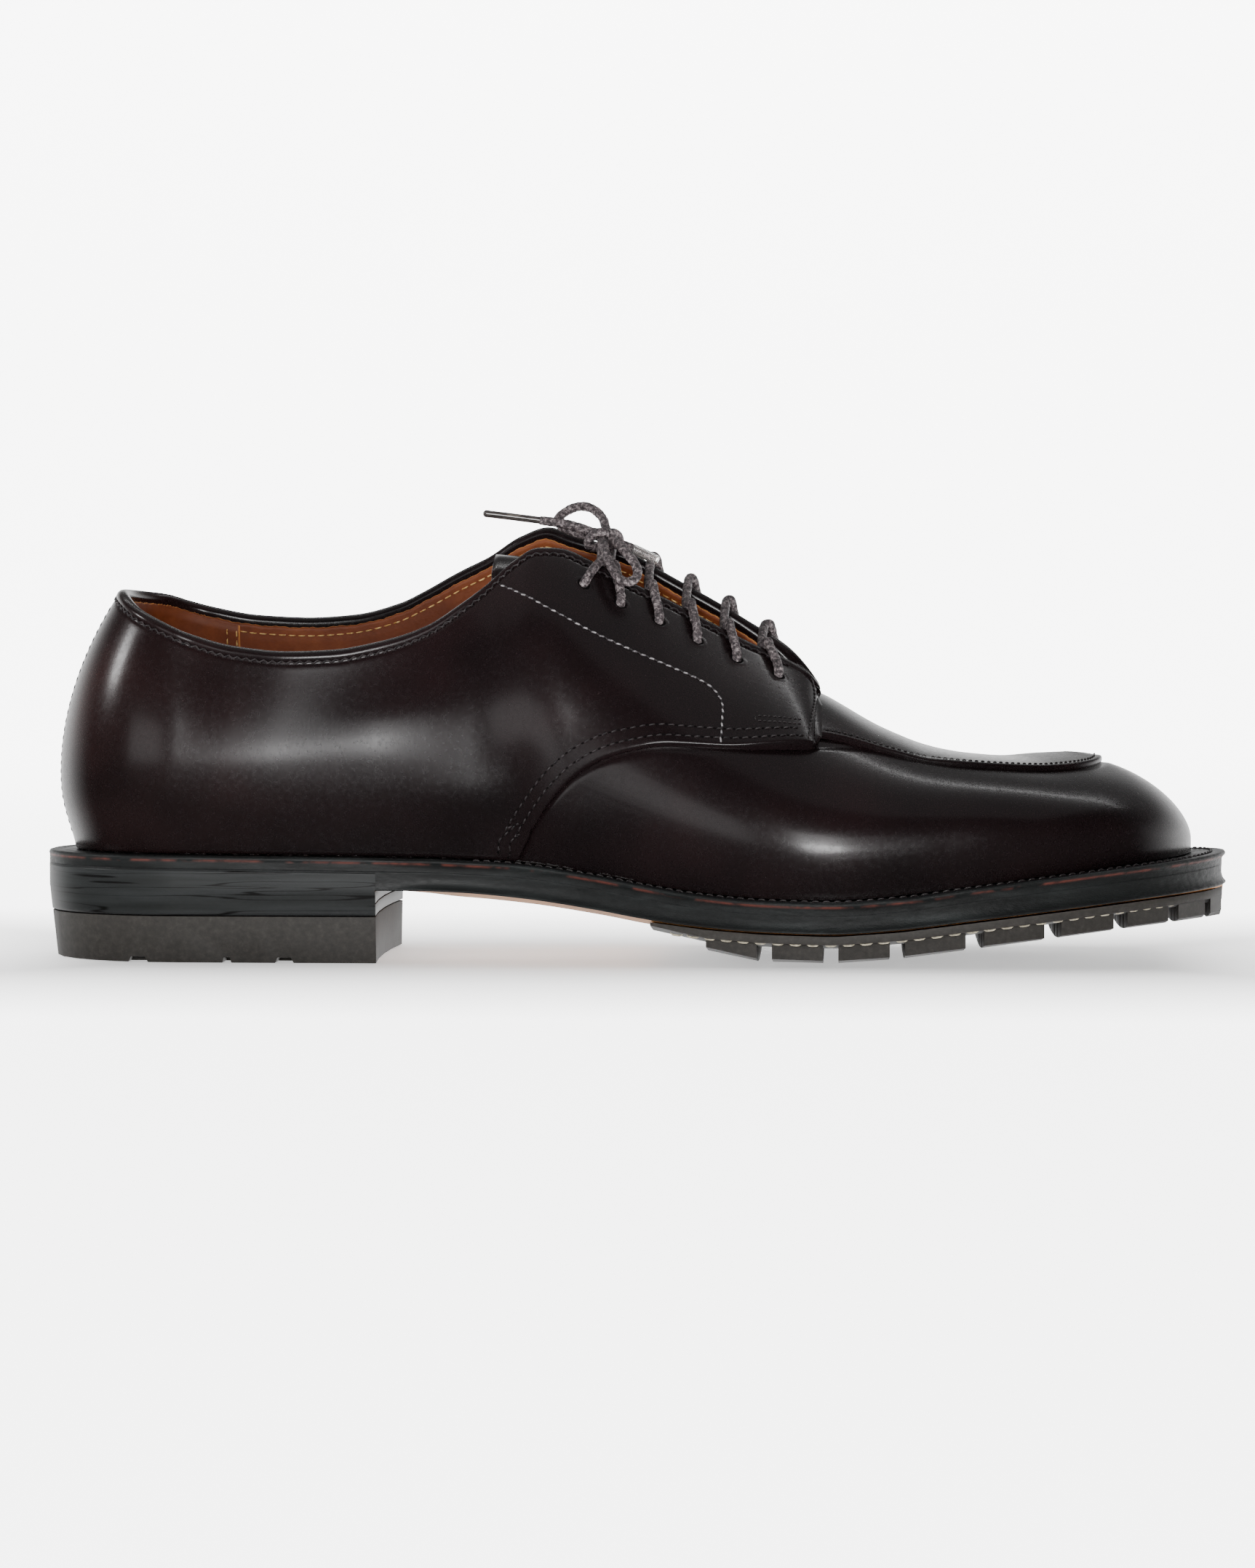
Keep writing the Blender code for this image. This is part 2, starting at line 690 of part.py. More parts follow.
def build_upper(look):
    """The hollow upper: outer and inner skins joined along the foot, collar, facings and throat."""
    sides = {side: upper_side(side) for side in (-1, 1)}
    vamp = sides[1][3]
    meet = np.zeros(sides[1][2].shape, bool)
    meet[0] = meet[-1] = True
    meet[vamp, -1] = True
    for item in (0, 1):
        shared = (sides[-1][item][meet] + sides[1][item][meet]) / 2
        if item == 1:
            shared /= np.linalg.norm(shared, axis=-1)[:, None]
        sides[-1][item][meet] = sides[1][item][meet] = shared
    points = []
    faces = []
    for side in (-1, 1):
        base, normal, lift, _ = sides[side]
        outer = base + normal * lift[..., None]
        inner = base - normal * WALL
        outer[:, 0, 2] = inner[:, 0, 2] = base[:, 0, 2]
        columns, rows = lift.shape
        start = sum(len(q) for q in points)
        points += [outer.reshape(-1, 3), inner.reshape(-1, 3)]
        skin = columns * rows
        full = rows - 1
        facing = rows - 3

        def at(c, r, inside, start=start, rows=rows, skin=skin):
            return start + inside * skin + c * rows + r

        def wall(a, b):
            faces.append((at(*a, 0), at(*b, 0), at(*b, 1), at(*a, 1)))

        for c in range(columns - 1):
            last = full if vamp[c] else facing
            for r in range(last):
                ring = ((c, r), (c + 1, r), (c + 1, r + 1), (c, r + 1))
                faces += [tuple(at(*q, inside) for q in ring) for inside in (0, 1)]
            wall((c, 0), (c + 1, 0))
            if not vamp[c]:
                wall((c, facing), (c + 1, facing))
            if vamp[c] and not vamp[c - 1]:
                for r in range(facing, full):
                    wall((c, r), (c, r + 1))
    return add_solid("upper", np.concatenate(points), faces, look)


def sole_places(start=0.0, end=1.0):
    """Places of the sole's sections between two places."""
    p = np.concatenate(
        [
            np.linspace(0, HEEL_SHARE, HEEL_COLUMNS + 1)[:-1],
            np.linspace(HEEL_SHARE, TOE_SHARE, 19)[:-1],
            np.linspace(TOE_SHARE, 1, TOE_COLUMNS + 1),
        ]
    )
    keep = (p > start + 0.004) & (p < end - 0.004)
    return np.concatenate([[start], p[keep], [end]])


def edge_point(p, side, inset, height):
    """Points along the sole's edge, moved inwards by inset, at the height that their x gives."""
    xy = inset_edge(p, side, np.broadcast_to(inset, p.shape))
    return np.concatenate([xy, height(xy[:, 0])[:, None]], axis=-1)


def build_welt(look):
    """A strip all round, its outer edge with a lip over a hollow."""
    foot = WELT_THICKNESS - CLEARANCE
    profile = [
        # inwards from the edge, below the welt's top
        (LIP * 0.7, 0.0),
        (0.0, 0.0004),
        (0.0, 0.0010),
        (LIP, 0.0016),
        (LIP, foot),
        (WELT_WIDTH, foot),
        (WELT_WIDTH, 0.0),
    ]
    loops = []
    for side, places in ((-1, sole_places()), (1, sole_places()[1:-1][::-1])):
        rows = []
        for inset, drop in profile:
            rows.append(edge_point(places, side, inset, lambda x, drop=drop: welt_z(x) - drop))
        loops.append(np.stack(rows, axis=1))
    return loft("welt", np.concatenate(loops), look, round_trip=True)


def camber_drop(p, share):
    """Drop of the bottom's middle at a share of the half width: a parabola across."""
    x = plan_place(p)[0]
    return CAMBER * curve_of(PROFILE, 4, along_of(x)) * (1 - share**2)


def across(p, inset, shares):
    """Plan points across the sole, from its outer to its inner edge moved inwards by inset."""
    outer = inset_edge(p, -1, np.full_like(p, inset))
    inner = inset_edge(p, 1, np.full_like(p, inset))
    t = (np.asarray(shares) + 1) / 2
    return outer[:, None] * (1 - t[None, :, None]) + inner[:, None] * t[None, :, None]


def build_midsole(look):
    """The leather sole: flat on top, its edge hollow between two lips, its bottom bowed across."""
    p = sole_places()
    shares = np.linspace(-1, 1, 7)
    side_profile = [
        # inwards from the edge, share of the height from top to bottom
        (LIP, 0.0),
        (LIP * 1.1, 0.45),
        (LIP * 0.5, 0.80),
        (-LIP * 0.35, 0.90),
        (-LIP * 0.35, 0.97),
    ]

    def foot(x):
        return bottom_z(x) + np.where(x < BREAST_X + 0.004, CLEARANCE, 0.0)

    def level(drop):
        return lambda x: (welt_z(x) - WELT_THICKNESS) * (1 - drop) + foot(x) * drop

    outer = [edge_point(p, -1, inset, level(drop)) for inset, drop in side_profile]
    inner = [edge_point(p, 1, inset, level(drop)) for inset, drop in side_profile]
    under = across(p, LIP * 0.6, shares)
    z = foot(under[..., 0]) - camber_drop(p[:, None], shares[None, :])
    under = np.concatenate([under, z[..., None]], axis=-1)
    loops = np.concatenate([np.stack(inner, axis=1), under[:, ::-1], np.stack(outer[::-1], axis=1)], axis=1)
    return loft("midsole", loops, look)


def heel_places():
    return sole_places(0.0, float(place_of_x(BREAST_X)))


def heel_piece(name, low, high, look):
    """A layer of the heel between two heights, drawn in a little towards the floor."""
    p = heel_places()
    shares = np.linspace(-1, 1, 5)

    def level(z):
        inset = LIP * 0.4 + HEEL_TAPER * (1 - z / HEEL_HEIGHT)
        plan = across(p, inset, shares)
        plan[-1, :, 0] -= BREAST_HOLLOW * (1 - shares**2)
        return np.concatenate([plan, np.full((*plan.shape[:2], 1), z)], axis=-1)

    loops = np.concatenate([level(high), level(low)[:, ::-1]], axis=1)
    return loft(name, loops, look)


def notch_cutter(along, width):
    """Points and faces of two wedges that cut a heel notch on both sides."""
    centre = (along - 0.5) * SHOE_LENGTH
    low = width * SHOE_LENGTH / 2
    high = low * 0.6
    half = BALL_WIDTH * PLAN[0, 1]
    points = []
    faces = []
    for side in (-1, 1):
        start = len(points)
        for y in (side * (half - NOTCH_DEPTH), side * (half + NOTCH_DEPTH)):
            points += [
                (centre - low, y, -NOTCH_HEIGHT),
                (centre + low, y, -NOTCH_HEIGHT),
                (centre + high, y, NOTCH_HEIGHT),
                (centre - high, y, NOTCH_HEIGHT),
            ]
        ring = [(0, 1, 2, 3), (4, 5, 6, 7)] + [(i, (i + 1) % 4, (i + 1) % 4 + 4, i + 4) for i in range(4)]
        faces += [tuple(start + i for i in face) for face in ring]
    return points, faces


def build_heel_rubber(look):
    """The rubber top piece with its notches."""
    piece = heel_piece("heel_rubber", 0.0, TOP_PIECE_HEIGHT - CLEARANCE, look)
    points = []
    faces = []
    for along, width in HEEL_NOTCHES:
        more, ring = notch_cutter(along, width)
        faces += [tuple(len(points) + i for i in face) for face in ring]
        points += more
    cut(piece, "heel_notches", points, faces)
    return piece


def build_tread(look):
    """The rubber half sole: a plate under the leather with rows of lugs, cut flat on the floor.

    A grid of cells follows the sole's edge. Each cell's underside is at the plate or at its lug's
    foot, and upright faces join cells of unlike height.
    """
    first = float(place_of_x(LUG_START))
    last = 0.985
    pitch = (last - first) / LUG_ROWS
    rows = [float(place_of_x(HALF_SOLE_START))]
    for i in range(LUG_ROWS):
        rows += [first + i * pitch, first + (i + LUG_SHARE) * pitch]
    rows = np.array(rows + [0.993])
    shares = np.array(LUG_LINES)
    plan = across(rows, LIP * 0.8, shares)
    under = bottom_z(plan[..., 0]) - camber_drop(rows[:, None], shares[None, :]) - 2 * CLEARANCE
    feather = np.where(np.arange(len(rows)) == 0, 0.4, 1.0)[:, None]
    plate = under - RUBBER_THICKNESS * feather
    lug = np.maximum(plate - LUG_HEIGHT * np.where(np.arange(len(rows)) == 1, 0.55, 1.0)[:, None], 0.0)
    n, m = under.shape
    levels = [np.concatenate([plan, z[..., None]], axis=-1).reshape(-1, 3) for z in (under, plate, lug)]
    cell = np.zeros((n - 1, m - 1), bool)
    cell[1:-1:2, 1:-1:2] = True

    def at(i, j, level):
        return level * n * m + i * m + j

    faces = []
    for i in range(n - 1):
        for j in range(m - 1):
            level = 2 if cell[i, j] else 1
            faces.append((at(i, j, 0), at(i + 1, j, 0), at(i + 1, j + 1, 0), at(i, j + 1, 0)))
            faces.append((at(i, j, level), at(i + 1, j, level), at(i + 1, j + 1, level), at(i, j + 1, level)))
            if cell[i, j]:
                ring = [(i, j), (i + 1, j), (i + 1, j + 1), (i, j + 1)]
                for k in range(4):
                    a, b = ring[k], ring[(k + 1) % 4]
                    faces.append((at(*a, 1), at(*b, 1), at(*b, 2), at(*a, 2)))
    border = [(i, 0) for i in range(n)] + [(n - 1, j) for j in range(1, m)]
    border += [(i, m - 1) for i in range(n - 2, -1, -1)] + [(0, j) for j in range(m - 2, 0, -1)]
    for a, b in zip(border, border[1:] + border[:1]):
        faces.append((at(*a, 0), at(*b, 0), at(*b, 1), at(*a, 1)))
    return add_solid("tread", np.concatenate(levels), faces, look, 25.0)


def build_insole(look):
    """The footbed, with the filler under it that drops inside the welt."""
    p = sole_places()
    wall = upper_inset(p) + WALL
    profile = [
        # inwards from the sole's edge, over the welt's top
        (wall + 0.0016, CLEARANCE + INSOLE_THICKNESS),
        (wall + 0.0008, CLEARANCE),
        (WELT_WIDTH + CLEARANCE, CLEARANCE),
        (WELT_WIDTH + CLEARANCE, CLEARANCE - WELT_THICKNESS),
    ]

    def rim(side):
        return [edge_point(p, side, inset, lambda x, up=up: welt_z(x) + up) for inset, up in profile]

    return loft("insole", np.stack(rim(-1) + rim(1)[::-1], axis=1), look)


def lining_height(x, y, gap):
    """Height of a surface lying gap under the upper's inner skin at each x and its row of y.

    In the throat and the collar, where nothing is overhead, it rises out of the way.
    """
    share = np.linspace(0.5, 1.0, 20)[None, :]
    out = np.empty(y.shape)
    for i in range(len(x)):
        place = float(place_of_x(x[i]))
        vamp = bool(x[i] >= THROAT_X)
        line_y = []
        line_z = []
        for side in (-1, 1):
            points, normal = outside(np.array([place, place + 0.004]), side, vamp, share)
            skin, ahead = points - normal * (WALL + gap)
            skin = skin + (ahead - skin) * ((x[i] - skin[:, 0]) / (ahead[:, 0] - skin[:, 0]))[:, None]
            order = slice(None) if side < 0 else slice(None, None, -1)
            line_y.append(skin[order, 1])
            line_z.append(skin[order, 2])
        if not vamp:
            line_y.insert(1, np.array([line_y[0][-1] + 1e-4, line_y[1][0] - 1e-4]))
            line_z.insert(1, np.array([1.0, 1.0]))
        out[i] = np.interp(y[i], np.concatenate(line_y), np.concatenate(line_z))
    return out


def build_tongue(look):
    """A leaf arched across, under both facings, from beneath the vamp to its tip in the collar."""
    x = np.linspace(TONGUE_ROOT_X, TONGUE_TIP_X, 17)
    share = np.linspace(-1, 1, 13)
    taper = 1 - TONGUE_ROOT_TAPER * ramp(x, THROAT_X - 0.02, TONGUE_ROOT_X)
    off = share[None, :] * TONGUE_HALF_WIDTH * taper[:, None]
    middle = welt_z(x) + INSTEP_HEIGHT * curve_of(TONGUE, 1, along_of(x))
    free = middle[:, None] - TONGUE_ARCH * off**2
    roof = np.minimum(lining_height(x, TONGUE_Y + off, TONGUE_GAP), free + 0.02)
    z = (free + roof - np.sqrt((free - roof) ** 2 + TONGUE_GAP**2)) / 2
    top = np.stack([np.broadcast_to(x[:, None], off.shape), TONGUE_Y + off, z], axis=-1)
    low = top - np.array([0.0, 0.0, TONGUE_THICKNESS])
    return loft("tongue", np.concatenate([top, low[:, ::-1]], axis=1), look)


def smooth_route(points, count):
    """Evenly spaced points of a smooth curve through the given ones (Catmull-Rom)."""
    points = np.asarray(points, float)
    ends = np.concatenate([[2 * points[0] - points[1]], points, [2 * points[-1] - points[-2]]])
    t = np.linspace(0, 1, 12, endpoint=False)[:, None]
    fine = []
    for a, b, c, d in zip(ends, ends[1:], ends[2:], ends[3:]):
        bend = (2 * a - 5 * b + 4 * c - d) * t**2 + (3 * b - a - 3 * c + d) * t**3
        fine.append(b + (c - a) * t / 2 + bend / 2)
    fine = np.concatenate([*fine, points[-1:]])
    run = np.concatenate([[0], np.cumsum(np.linalg.norm(np.diff(fine, axis=0), axis=1))])
    at = np.linspace(0, run[-1], count)
    return np.stack([np.interp(at, run, fine[:, k]) for k in range(3)], axis=1)


def tube(name, route, radius, look, sides=6):
    """A round rod along a route, its rings turned as little as possible from one to the next."""
    radius = np.broadcast_to(radius, len(route))
    ahead = np.gradient(route, axis=0)
    ahead /= np.linalg.norm(ahead, axis=1)[:, None]
    turn = np.linspace(0, 2 * math.pi, sides, endpoint=False)
    first = np.cross(ahead[0], (0.3, 0.1, 0.9))
    loops = []
    for point, way, r in zip(route, ahead, radius):
        first = first - way * (first @ way)
        first /= np.linalg.norm(first)
        second = np.cross(way, first)
        loops.append(point + r * (np.cos(turn)[:, None] * first + np.sin(turn)[:, None] * second))
    return loft(name, loops, look, smooth_angle=60.0)


def facing_route(x, side, distance, over, lean=CLIMB_LEAN):
    """Points over one facing at distances from its edge and heights over its outer face.

    The route runs square to the facing's slanted edge, so it leans back as it climbs. A negative
    distance lies beyond the edge.
    """
    place = place_of_x(x - lean * (EYELET_SETBACK - distance))
    vamp = np.zeros(len(place), bool)
    rows = section(place, side, vamp)
    length = np.linalg.norm(np.diff(rows, axis=1), axis=-1).sum(axis=-1)
    share = np.clip(1 - distance / length, 0, 1)[:, None]
    points, normal = outside(place, side, vamp, share)
    lift = OVERLAY * (1 + ramp(points[..., 0], THROAT_X - 0.022, THROAT_X - 0.004))
    beyond = rows[:, -1] - rows[:, -3]
    beyond /= np.linalg.norm(beyond, axis=-1)[:, None]
    off = (points + normal * (lift[..., None] + over[:, None, None]))[:, 0]
    return off + beyond * np.clip(-distance, 0, None)[:, None]


def eyelet_places():
    return np.linspace(EYELET_FIRST_X, EYELET_LAST_X, EYELETS)


def cut_eyelets(upper):
    """Twelve round holes through the facings, square to the leather."""
    points = []
    faces = []
    turn = np.linspace(0, 2 * math.pi, 8, endpoint=False)
    distance = np.array([EYELET_SETBACK])
    for side in (-1, 1):
        for x in eyelet_places():
            low = facing_route(x, side, distance, np.array([-2 * WALL - 2 * OVERLAY]))[0]
            high = facing_route(x, side, distance, np.array([2 * WALL]))[0]
            way = (high - low) / np.linalg.norm(high - low)
            first = np.cross(way, (1.0, 0.0, 0.0))
            first /= np.linalg.norm(first)
            ring = np.cos(turn)[:, None] * first + np.sin(turn)[:, None] * np.cross(way, first)
            start = len(points)
            points += [*(low + ring * EYELET_DIAMETER / 2), *(high + ring * EYELET_DIAMETER / 2)]
            faces += [tuple(start + i for i in range(8)), tuple(start + 8 + i for i in range(8))]
            faces += [tuple(start + i for i in (k, (k + 1) % 8, (k + 1) % 8 + 8, k + 8)) for k in range(8)]
    cut(upper, "eyelet_holes", points, faces)


def bar_route(x, lean=CLIMB_LEAN, middle=()):
    """A lace's run from the outer eyelet over both facings to the inner one."""
    clear = LACE_FIT + LACE_DIAMETER / 2
    climb = EYELET_SETBACK * FACING_CLIMB[:, 0] - clear * FACING_CLIMB[:, 1]
    over = clear * FACING_CLIMB[:, 2] - WALL * FACING_CLIMB[:, 3]
    outer = facing_route(x, -1, climb, over, lean)
    inner = facing_route(x, 1, climb, over, lean)[::-1]
    return [*outer, *middle, *inner]


def build_lace(look):
    """The bars over the tongue, and the bow: a knot, two loops and two ends."""
    radius = LACE_DIAMETER / 2
    places = eyelet_places()
    for i, x in enumerate(places[1:]):
        tube(f"lace_bar_{i + 1}", smooth_route(bar_route(x), 24), radius, look)
    knot = np.array(KNOT_PLACE)
    wide = KNOT_DIAMETER / 2
    across_knot = [knot + (0, -wide, 0), knot, knot + (0, wide, 0)]
    route = smooth_route(bar_route(places[0], TOP_LEAN, across_knot), 31)
    swell = np.clip(1 - (np.linalg.norm(route - knot, axis=1) / wide) ** 2, 0, None)
    tube("lace_knot", route, radius + (wide - radius) * np.sqrt(swell), look)
    for name, way, count in (
        ("lace_loop_far", LOOP_FAR, 17),
        ("lace_loop_near", LOOP_NEAR, 19),
        ("lace_end_back", END_BACK, 9),
        ("lace_end_front", END_FRONT, 7),
    ):
        tube(name, smooth_route(knot + np.array(way) / 1000, count), radius, look)


def main():
    for old in list(bpy.data.objects):
        bpy.data.objects.remove(old, do_unlink=True)
    shell = plain_look("polished burgundy leather", (0.012, 0.006, 0.007), 0.22)
    edge = plain_look("waxed black sole leather", (0.015, 0.017, 0.018), 0.45)
    lining = plain_look("tan vegetable-tanned leather", (0.35, 0.13, 0.04), 0.6)
    rubber = plain_look("dark olive rubber", (0.035, 0.033, 0.03), 0.7)
    cotton = plain_look("waxed cotton lace", (0.06, 0.045, 0.045), 0.6)
    cut_eyelets(build_upper(shell))
    build_tongue(shell)
    build_insole(lining)
    build_welt(edge)
    build_midsole(edge)
    build_tread(rubber)
    low = TOP_PIECE_HEIGHT
    heel_piece("heel_lift_lower", low, low + LIFT_HEIGHT - CLEARANCE, edge)
    heel_piece("heel_lift_upper", low + LIFT_HEIGHT, HEEL_HEIGHT - CLEARANCE, edge)
    build_heel_rubber(rubber)
    build_lace(cotton)


main()
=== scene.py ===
"""The looks of the apron toe derby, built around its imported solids.

Named sizes, tables and the last's functions repeat those of the part, so that every finer piece
lies where its solid is. Pieces stay at the origin and unrotated, in metres.
"""

import math

import bmesh
import bpy
import numpy as np
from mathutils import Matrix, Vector


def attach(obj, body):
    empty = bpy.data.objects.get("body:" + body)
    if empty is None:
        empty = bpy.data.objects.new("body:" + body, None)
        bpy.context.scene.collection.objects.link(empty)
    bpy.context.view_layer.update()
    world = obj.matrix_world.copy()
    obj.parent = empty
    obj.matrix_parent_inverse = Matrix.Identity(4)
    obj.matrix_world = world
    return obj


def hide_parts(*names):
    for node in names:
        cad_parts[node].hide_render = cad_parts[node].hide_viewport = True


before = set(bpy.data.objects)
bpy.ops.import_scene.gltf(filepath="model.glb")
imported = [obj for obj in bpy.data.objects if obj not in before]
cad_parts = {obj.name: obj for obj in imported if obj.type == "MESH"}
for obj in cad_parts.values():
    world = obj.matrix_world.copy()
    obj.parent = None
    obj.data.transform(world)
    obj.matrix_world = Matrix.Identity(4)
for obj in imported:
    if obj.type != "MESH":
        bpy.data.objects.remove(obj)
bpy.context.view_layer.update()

# Plan of the sole
SHOE_LENGTH = 0.307
BALL_WIDTH = 0.108
HEEL_ROUND = 0.0385  # heel's back to the widest line of the seat
TOE_ROUND = 0.0800  # toe tip to the line where the toe starts to turn
TOE_SWING = 0.005  # the tip lies this far towards the big toe

# Heights of the bottom
TOP_PIECE_HEIGHT = 0.0122  # rubber of the heel
LIFT_HEIGHT = 0.0032  # each of two leather lifts
MIDSOLE_THICKNESS = 0.0048
WELT_THICKNESS = 0.0032
RUBBER_THICKNESS = 0.0020  # plate of the half sole
LUG_HEIGHT = 0.0037
CAMBER = 0.0039  # drop of the bottom's middle below its edge, at the ball
TOE_SPRING = 0.0097

# Sole edge, welt and heel
WELT_WIDTH = 0.0170
LIP = 0.0009  # how far the edge's two lips stand out of its hollow
HEEL_TAPER = 0.0020  # heel base inside the seat, each side
BREAST_X = -0.0640

# Upper
INSTEP_HEIGHT = 0.0887  # height over the welt that the upper's tables are shares of
WALL = 0.0020
OVERLAY = 0.0012  # step at the quarter's and the apron's edge
COLLAR_BACK = 0.0195  # collar's back edge in front of the sole's back
RIDGE_SHIFT = 0.0035  # vamp's ridge, towards the big toe
TOE_POLE_X = 0.1120  # where the toe's sections meet on the ridge
THROAT_X = 0.0470
QUARTER_FOOT_X = -0.0290  # where the quarter's front edge reaches the welt
APRON_FRONT_X = 0.1215
EYELETS = 6
EYELET_FIRST_X = -0.0112
EYELET_LAST_X = 0.0379
EYELET_SETBACK = 0.0100  # from the facing's edge, along the leather

# Tongue and fits
TONGUE_THICKNESS = 0.0018
TONGUE_HALF_WIDTH = 0.0155
TONGUE_ROOT_TAPER = 0.25
TONGUE_TIP_X = -0.0360
TONGUE_ROOT_X = 0.0560
TONGUE_Y = 0.0010
TONGUE_ARCH = 24.0  # drop per squared distance from its middle, 1/m
TONGUE_GAP = 0.0011  # under the facings
TONGUE_RIM = 0.0002  # its cut edge stands out this far at half its thickness
CLEARANCE = 0.0003
LINING_GAP = 0.0007  # the lining's face inside the wall
HEEL_PIECE_GAP = 0.0012  # the face of the lining's heel piece inside the wall

# Lace
LACE_DIAMETER = 0.0022
LACE_RADIUS = LACE_DIAMETER * 0.545  # of the visible lace
LACE_FIT = 0.0005  # clear of the leather
KNOT_DIAMETER = 0.0062
CLIMB_LEAN = 0.42  # a lace's lean back over its climb on the facing
TOP_LEAN = -0.2  # the same from the top eyelets, towards the knot

HEEL_X = -SHOE_LENGTH / 2 + HEEL_ROUND
TOE_X = SHOE_LENGTH / 2 - TOE_ROUND
HEEL_HEIGHT = TOP_PIECE_HEIGHT + 2 * LIFT_HEIGHT
BALL_LIFT = LUG_HEIGHT + RUBBER_THICKNESS + CAMBER
SOLE_EDGE = MIDSOLE_THICKNESS + WELT_THICKNESS

# Shares of the shoe's columns, and how square and pointed its two fans are
HEEL_SHARE = 0.20
TOE_SHARE = 0.72
HEEL_SQUARENESS = 0.94
TOE_POINT = 1.0

# Half widths of the sole, shares of BALL_WIDTH; along is a share of SHOE_LENGTH from the heel's back
PLAN = np.array(
    [
        # along, outer, inner
        (0.125, 0.320, 0.320),
        (0.207, 0.323, 0.315),
        (0.291, 0.323, 0.301),
        (0.370, 0.329, 0.274),
        (0.451, 0.366, 0.274),
        (0.533, 0.440, 0.338),
        (0.614, 0.509, 0.421),
        (0.663, 0.528, 0.458),
        (0.728, 0.517, 0.472),
        (0.754, 0.505, 0.470),
    ]
)
# Shift across that brings the sole's middle to y = 0
CENTRE_Y = BALL_WIDTH * (PLAN[:, 1].max() - PLAN[:, 2].max()) / 2

# Height of the sole's lower edge over the ball: heel is a share of the rise to the heel, toe of
# TOE_SPRING; edge is a share of SOLE_EDGE and camber of CAMBER
PROFILE = np.array(
    [
        # along, heel, toe, edge, camber
        (0.000, 1.000, 0.000, 1.125, 0.00),
        (0.160, 1.000, 0.000, 1.080, 0.00),
        (0.290, 1.000, 0.000, 1.020, 0.00),
        (0.325, 1.000, 0.000, 1.000, 0.45),
        (0.360, 0.960, 0.000, 1.000, 0.72),
        (0.418, 0.800, 0.000, 1.060, 0.78),
        (0.476, 0.530, 0.000, 1.060, 0.82),
        (0.515, 0.320, 0.000, 1.040, 0.90),
        (0.555, 0.160, 0.000, 0.990, 0.96),
        (0.611, 0.040, 0.000, 0.960, 1.00),
        (0.667, 0.000, 0.000, 0.970, 1.00),
        (0.723, 0.000, 0.113, 0.970, 1.00),
        (0.779, 0.000, 0.330, 1.000, 0.95),
        (0.836, 0.000, 0.536, 1.020, 0.85),
        (0.917, 0.000, 0.800, 1.030, 0.70),
        (1.000, 0.000, 1.000, 1.060, 0.55),
    ]
)

# Upper's foot inside the sole's edge, shares of WELT_WIDTH
INSET = np.array(
    [
        # along, inset
        (0.000, 0.50),
        (0.060, 0.41),
        (0.200, 0.36),
        (0.380, 0.37),
        (0.440, 0.33),
        (0.700, 0.36),
        (0.900, 0.44),
        (1.000, 0.52),
    ]
)

# Fullest line of the side: out is its overhang past the upper's foot and up its height over the
# welt, shares of INSTEP_HEIGHT; low and high are the lengths of the curve's two handles
BULGE = np.array(
    [
        # along, out_outer, out_inner, up, low, high
        (0.024, 0.045, 0.045, 0.220, 0.38, 0.28),
        (0.125, 0.030, 0.030, 0.240, 0.36, 0.30),
        (0.291, 0.022, 0.016, 0.260, 0.38, 0.34),
        (0.420, 0.028, 0.010, 0.250, 0.36, 0.34),
        (0.500, 0.020, 0.010, 0.200, 0.34, 0.34),
        (0.620, 0.012, 0.012, 0.130, 0.32, 0.34),
        (0.700, 0.010, 0.010, 0.115, 0.31, 0.42),
        (0.780, 0.008, 0.008, 0.105, 0.30, 0.50),
        (0.900, 0.005, 0.005, 0.070, 0.26, 0.48),
        (0.971, 0.000, 0.000, 0.035, 0.22, 0.45),
    ]
)

# Collar and facings: y is a share of BALL_WIDTH, height a share of INSTEP_HEIGHT over the welt,
# lean the slope of the leather at its edge in degrees
OUTER_EDGE = np.array(
    [
        # along, y, height, lean
        (0.0635, 0.222, 0.766, 56),
        (0.084, 0.222, 0.711, 66),
        (0.107, 0.222, 0.670, 74),
        (0.132, 0.222, 0.633, 77),
        (0.173, 0.241, 0.597, 80),
        (0.213, 0.250, 0.585, 80),
        (0.252, 0.245, 0.591, 80),
        (0.291, 0.231, 0.617, 77),
        (0.330, 0.208, 0.666, 70),
        (0.362, 0.182, 0.744, 62),
        (0.382, 0.158, 0.802, 55),
        (0.403, 0.131, 0.870, 46),
        (0.422, 0.110, 0.912, 39),
        (0.440, 0.097, 0.917, 34),
        (0.460, 0.088, 0.899, 32),
        (0.489, 0.080, 0.861, 31),
        (0.534, 0.075, 0.811, 30),
        (0.569, 0.072, 0.762, 29),
        (0.604, 0.067, 0.706, 27),
        (0.623, 0.064, 0.672, 25),
        (0.644, 0.060, 0.624, 21),
        (0.653, 0.056, 0.582, 18),
    ]
)
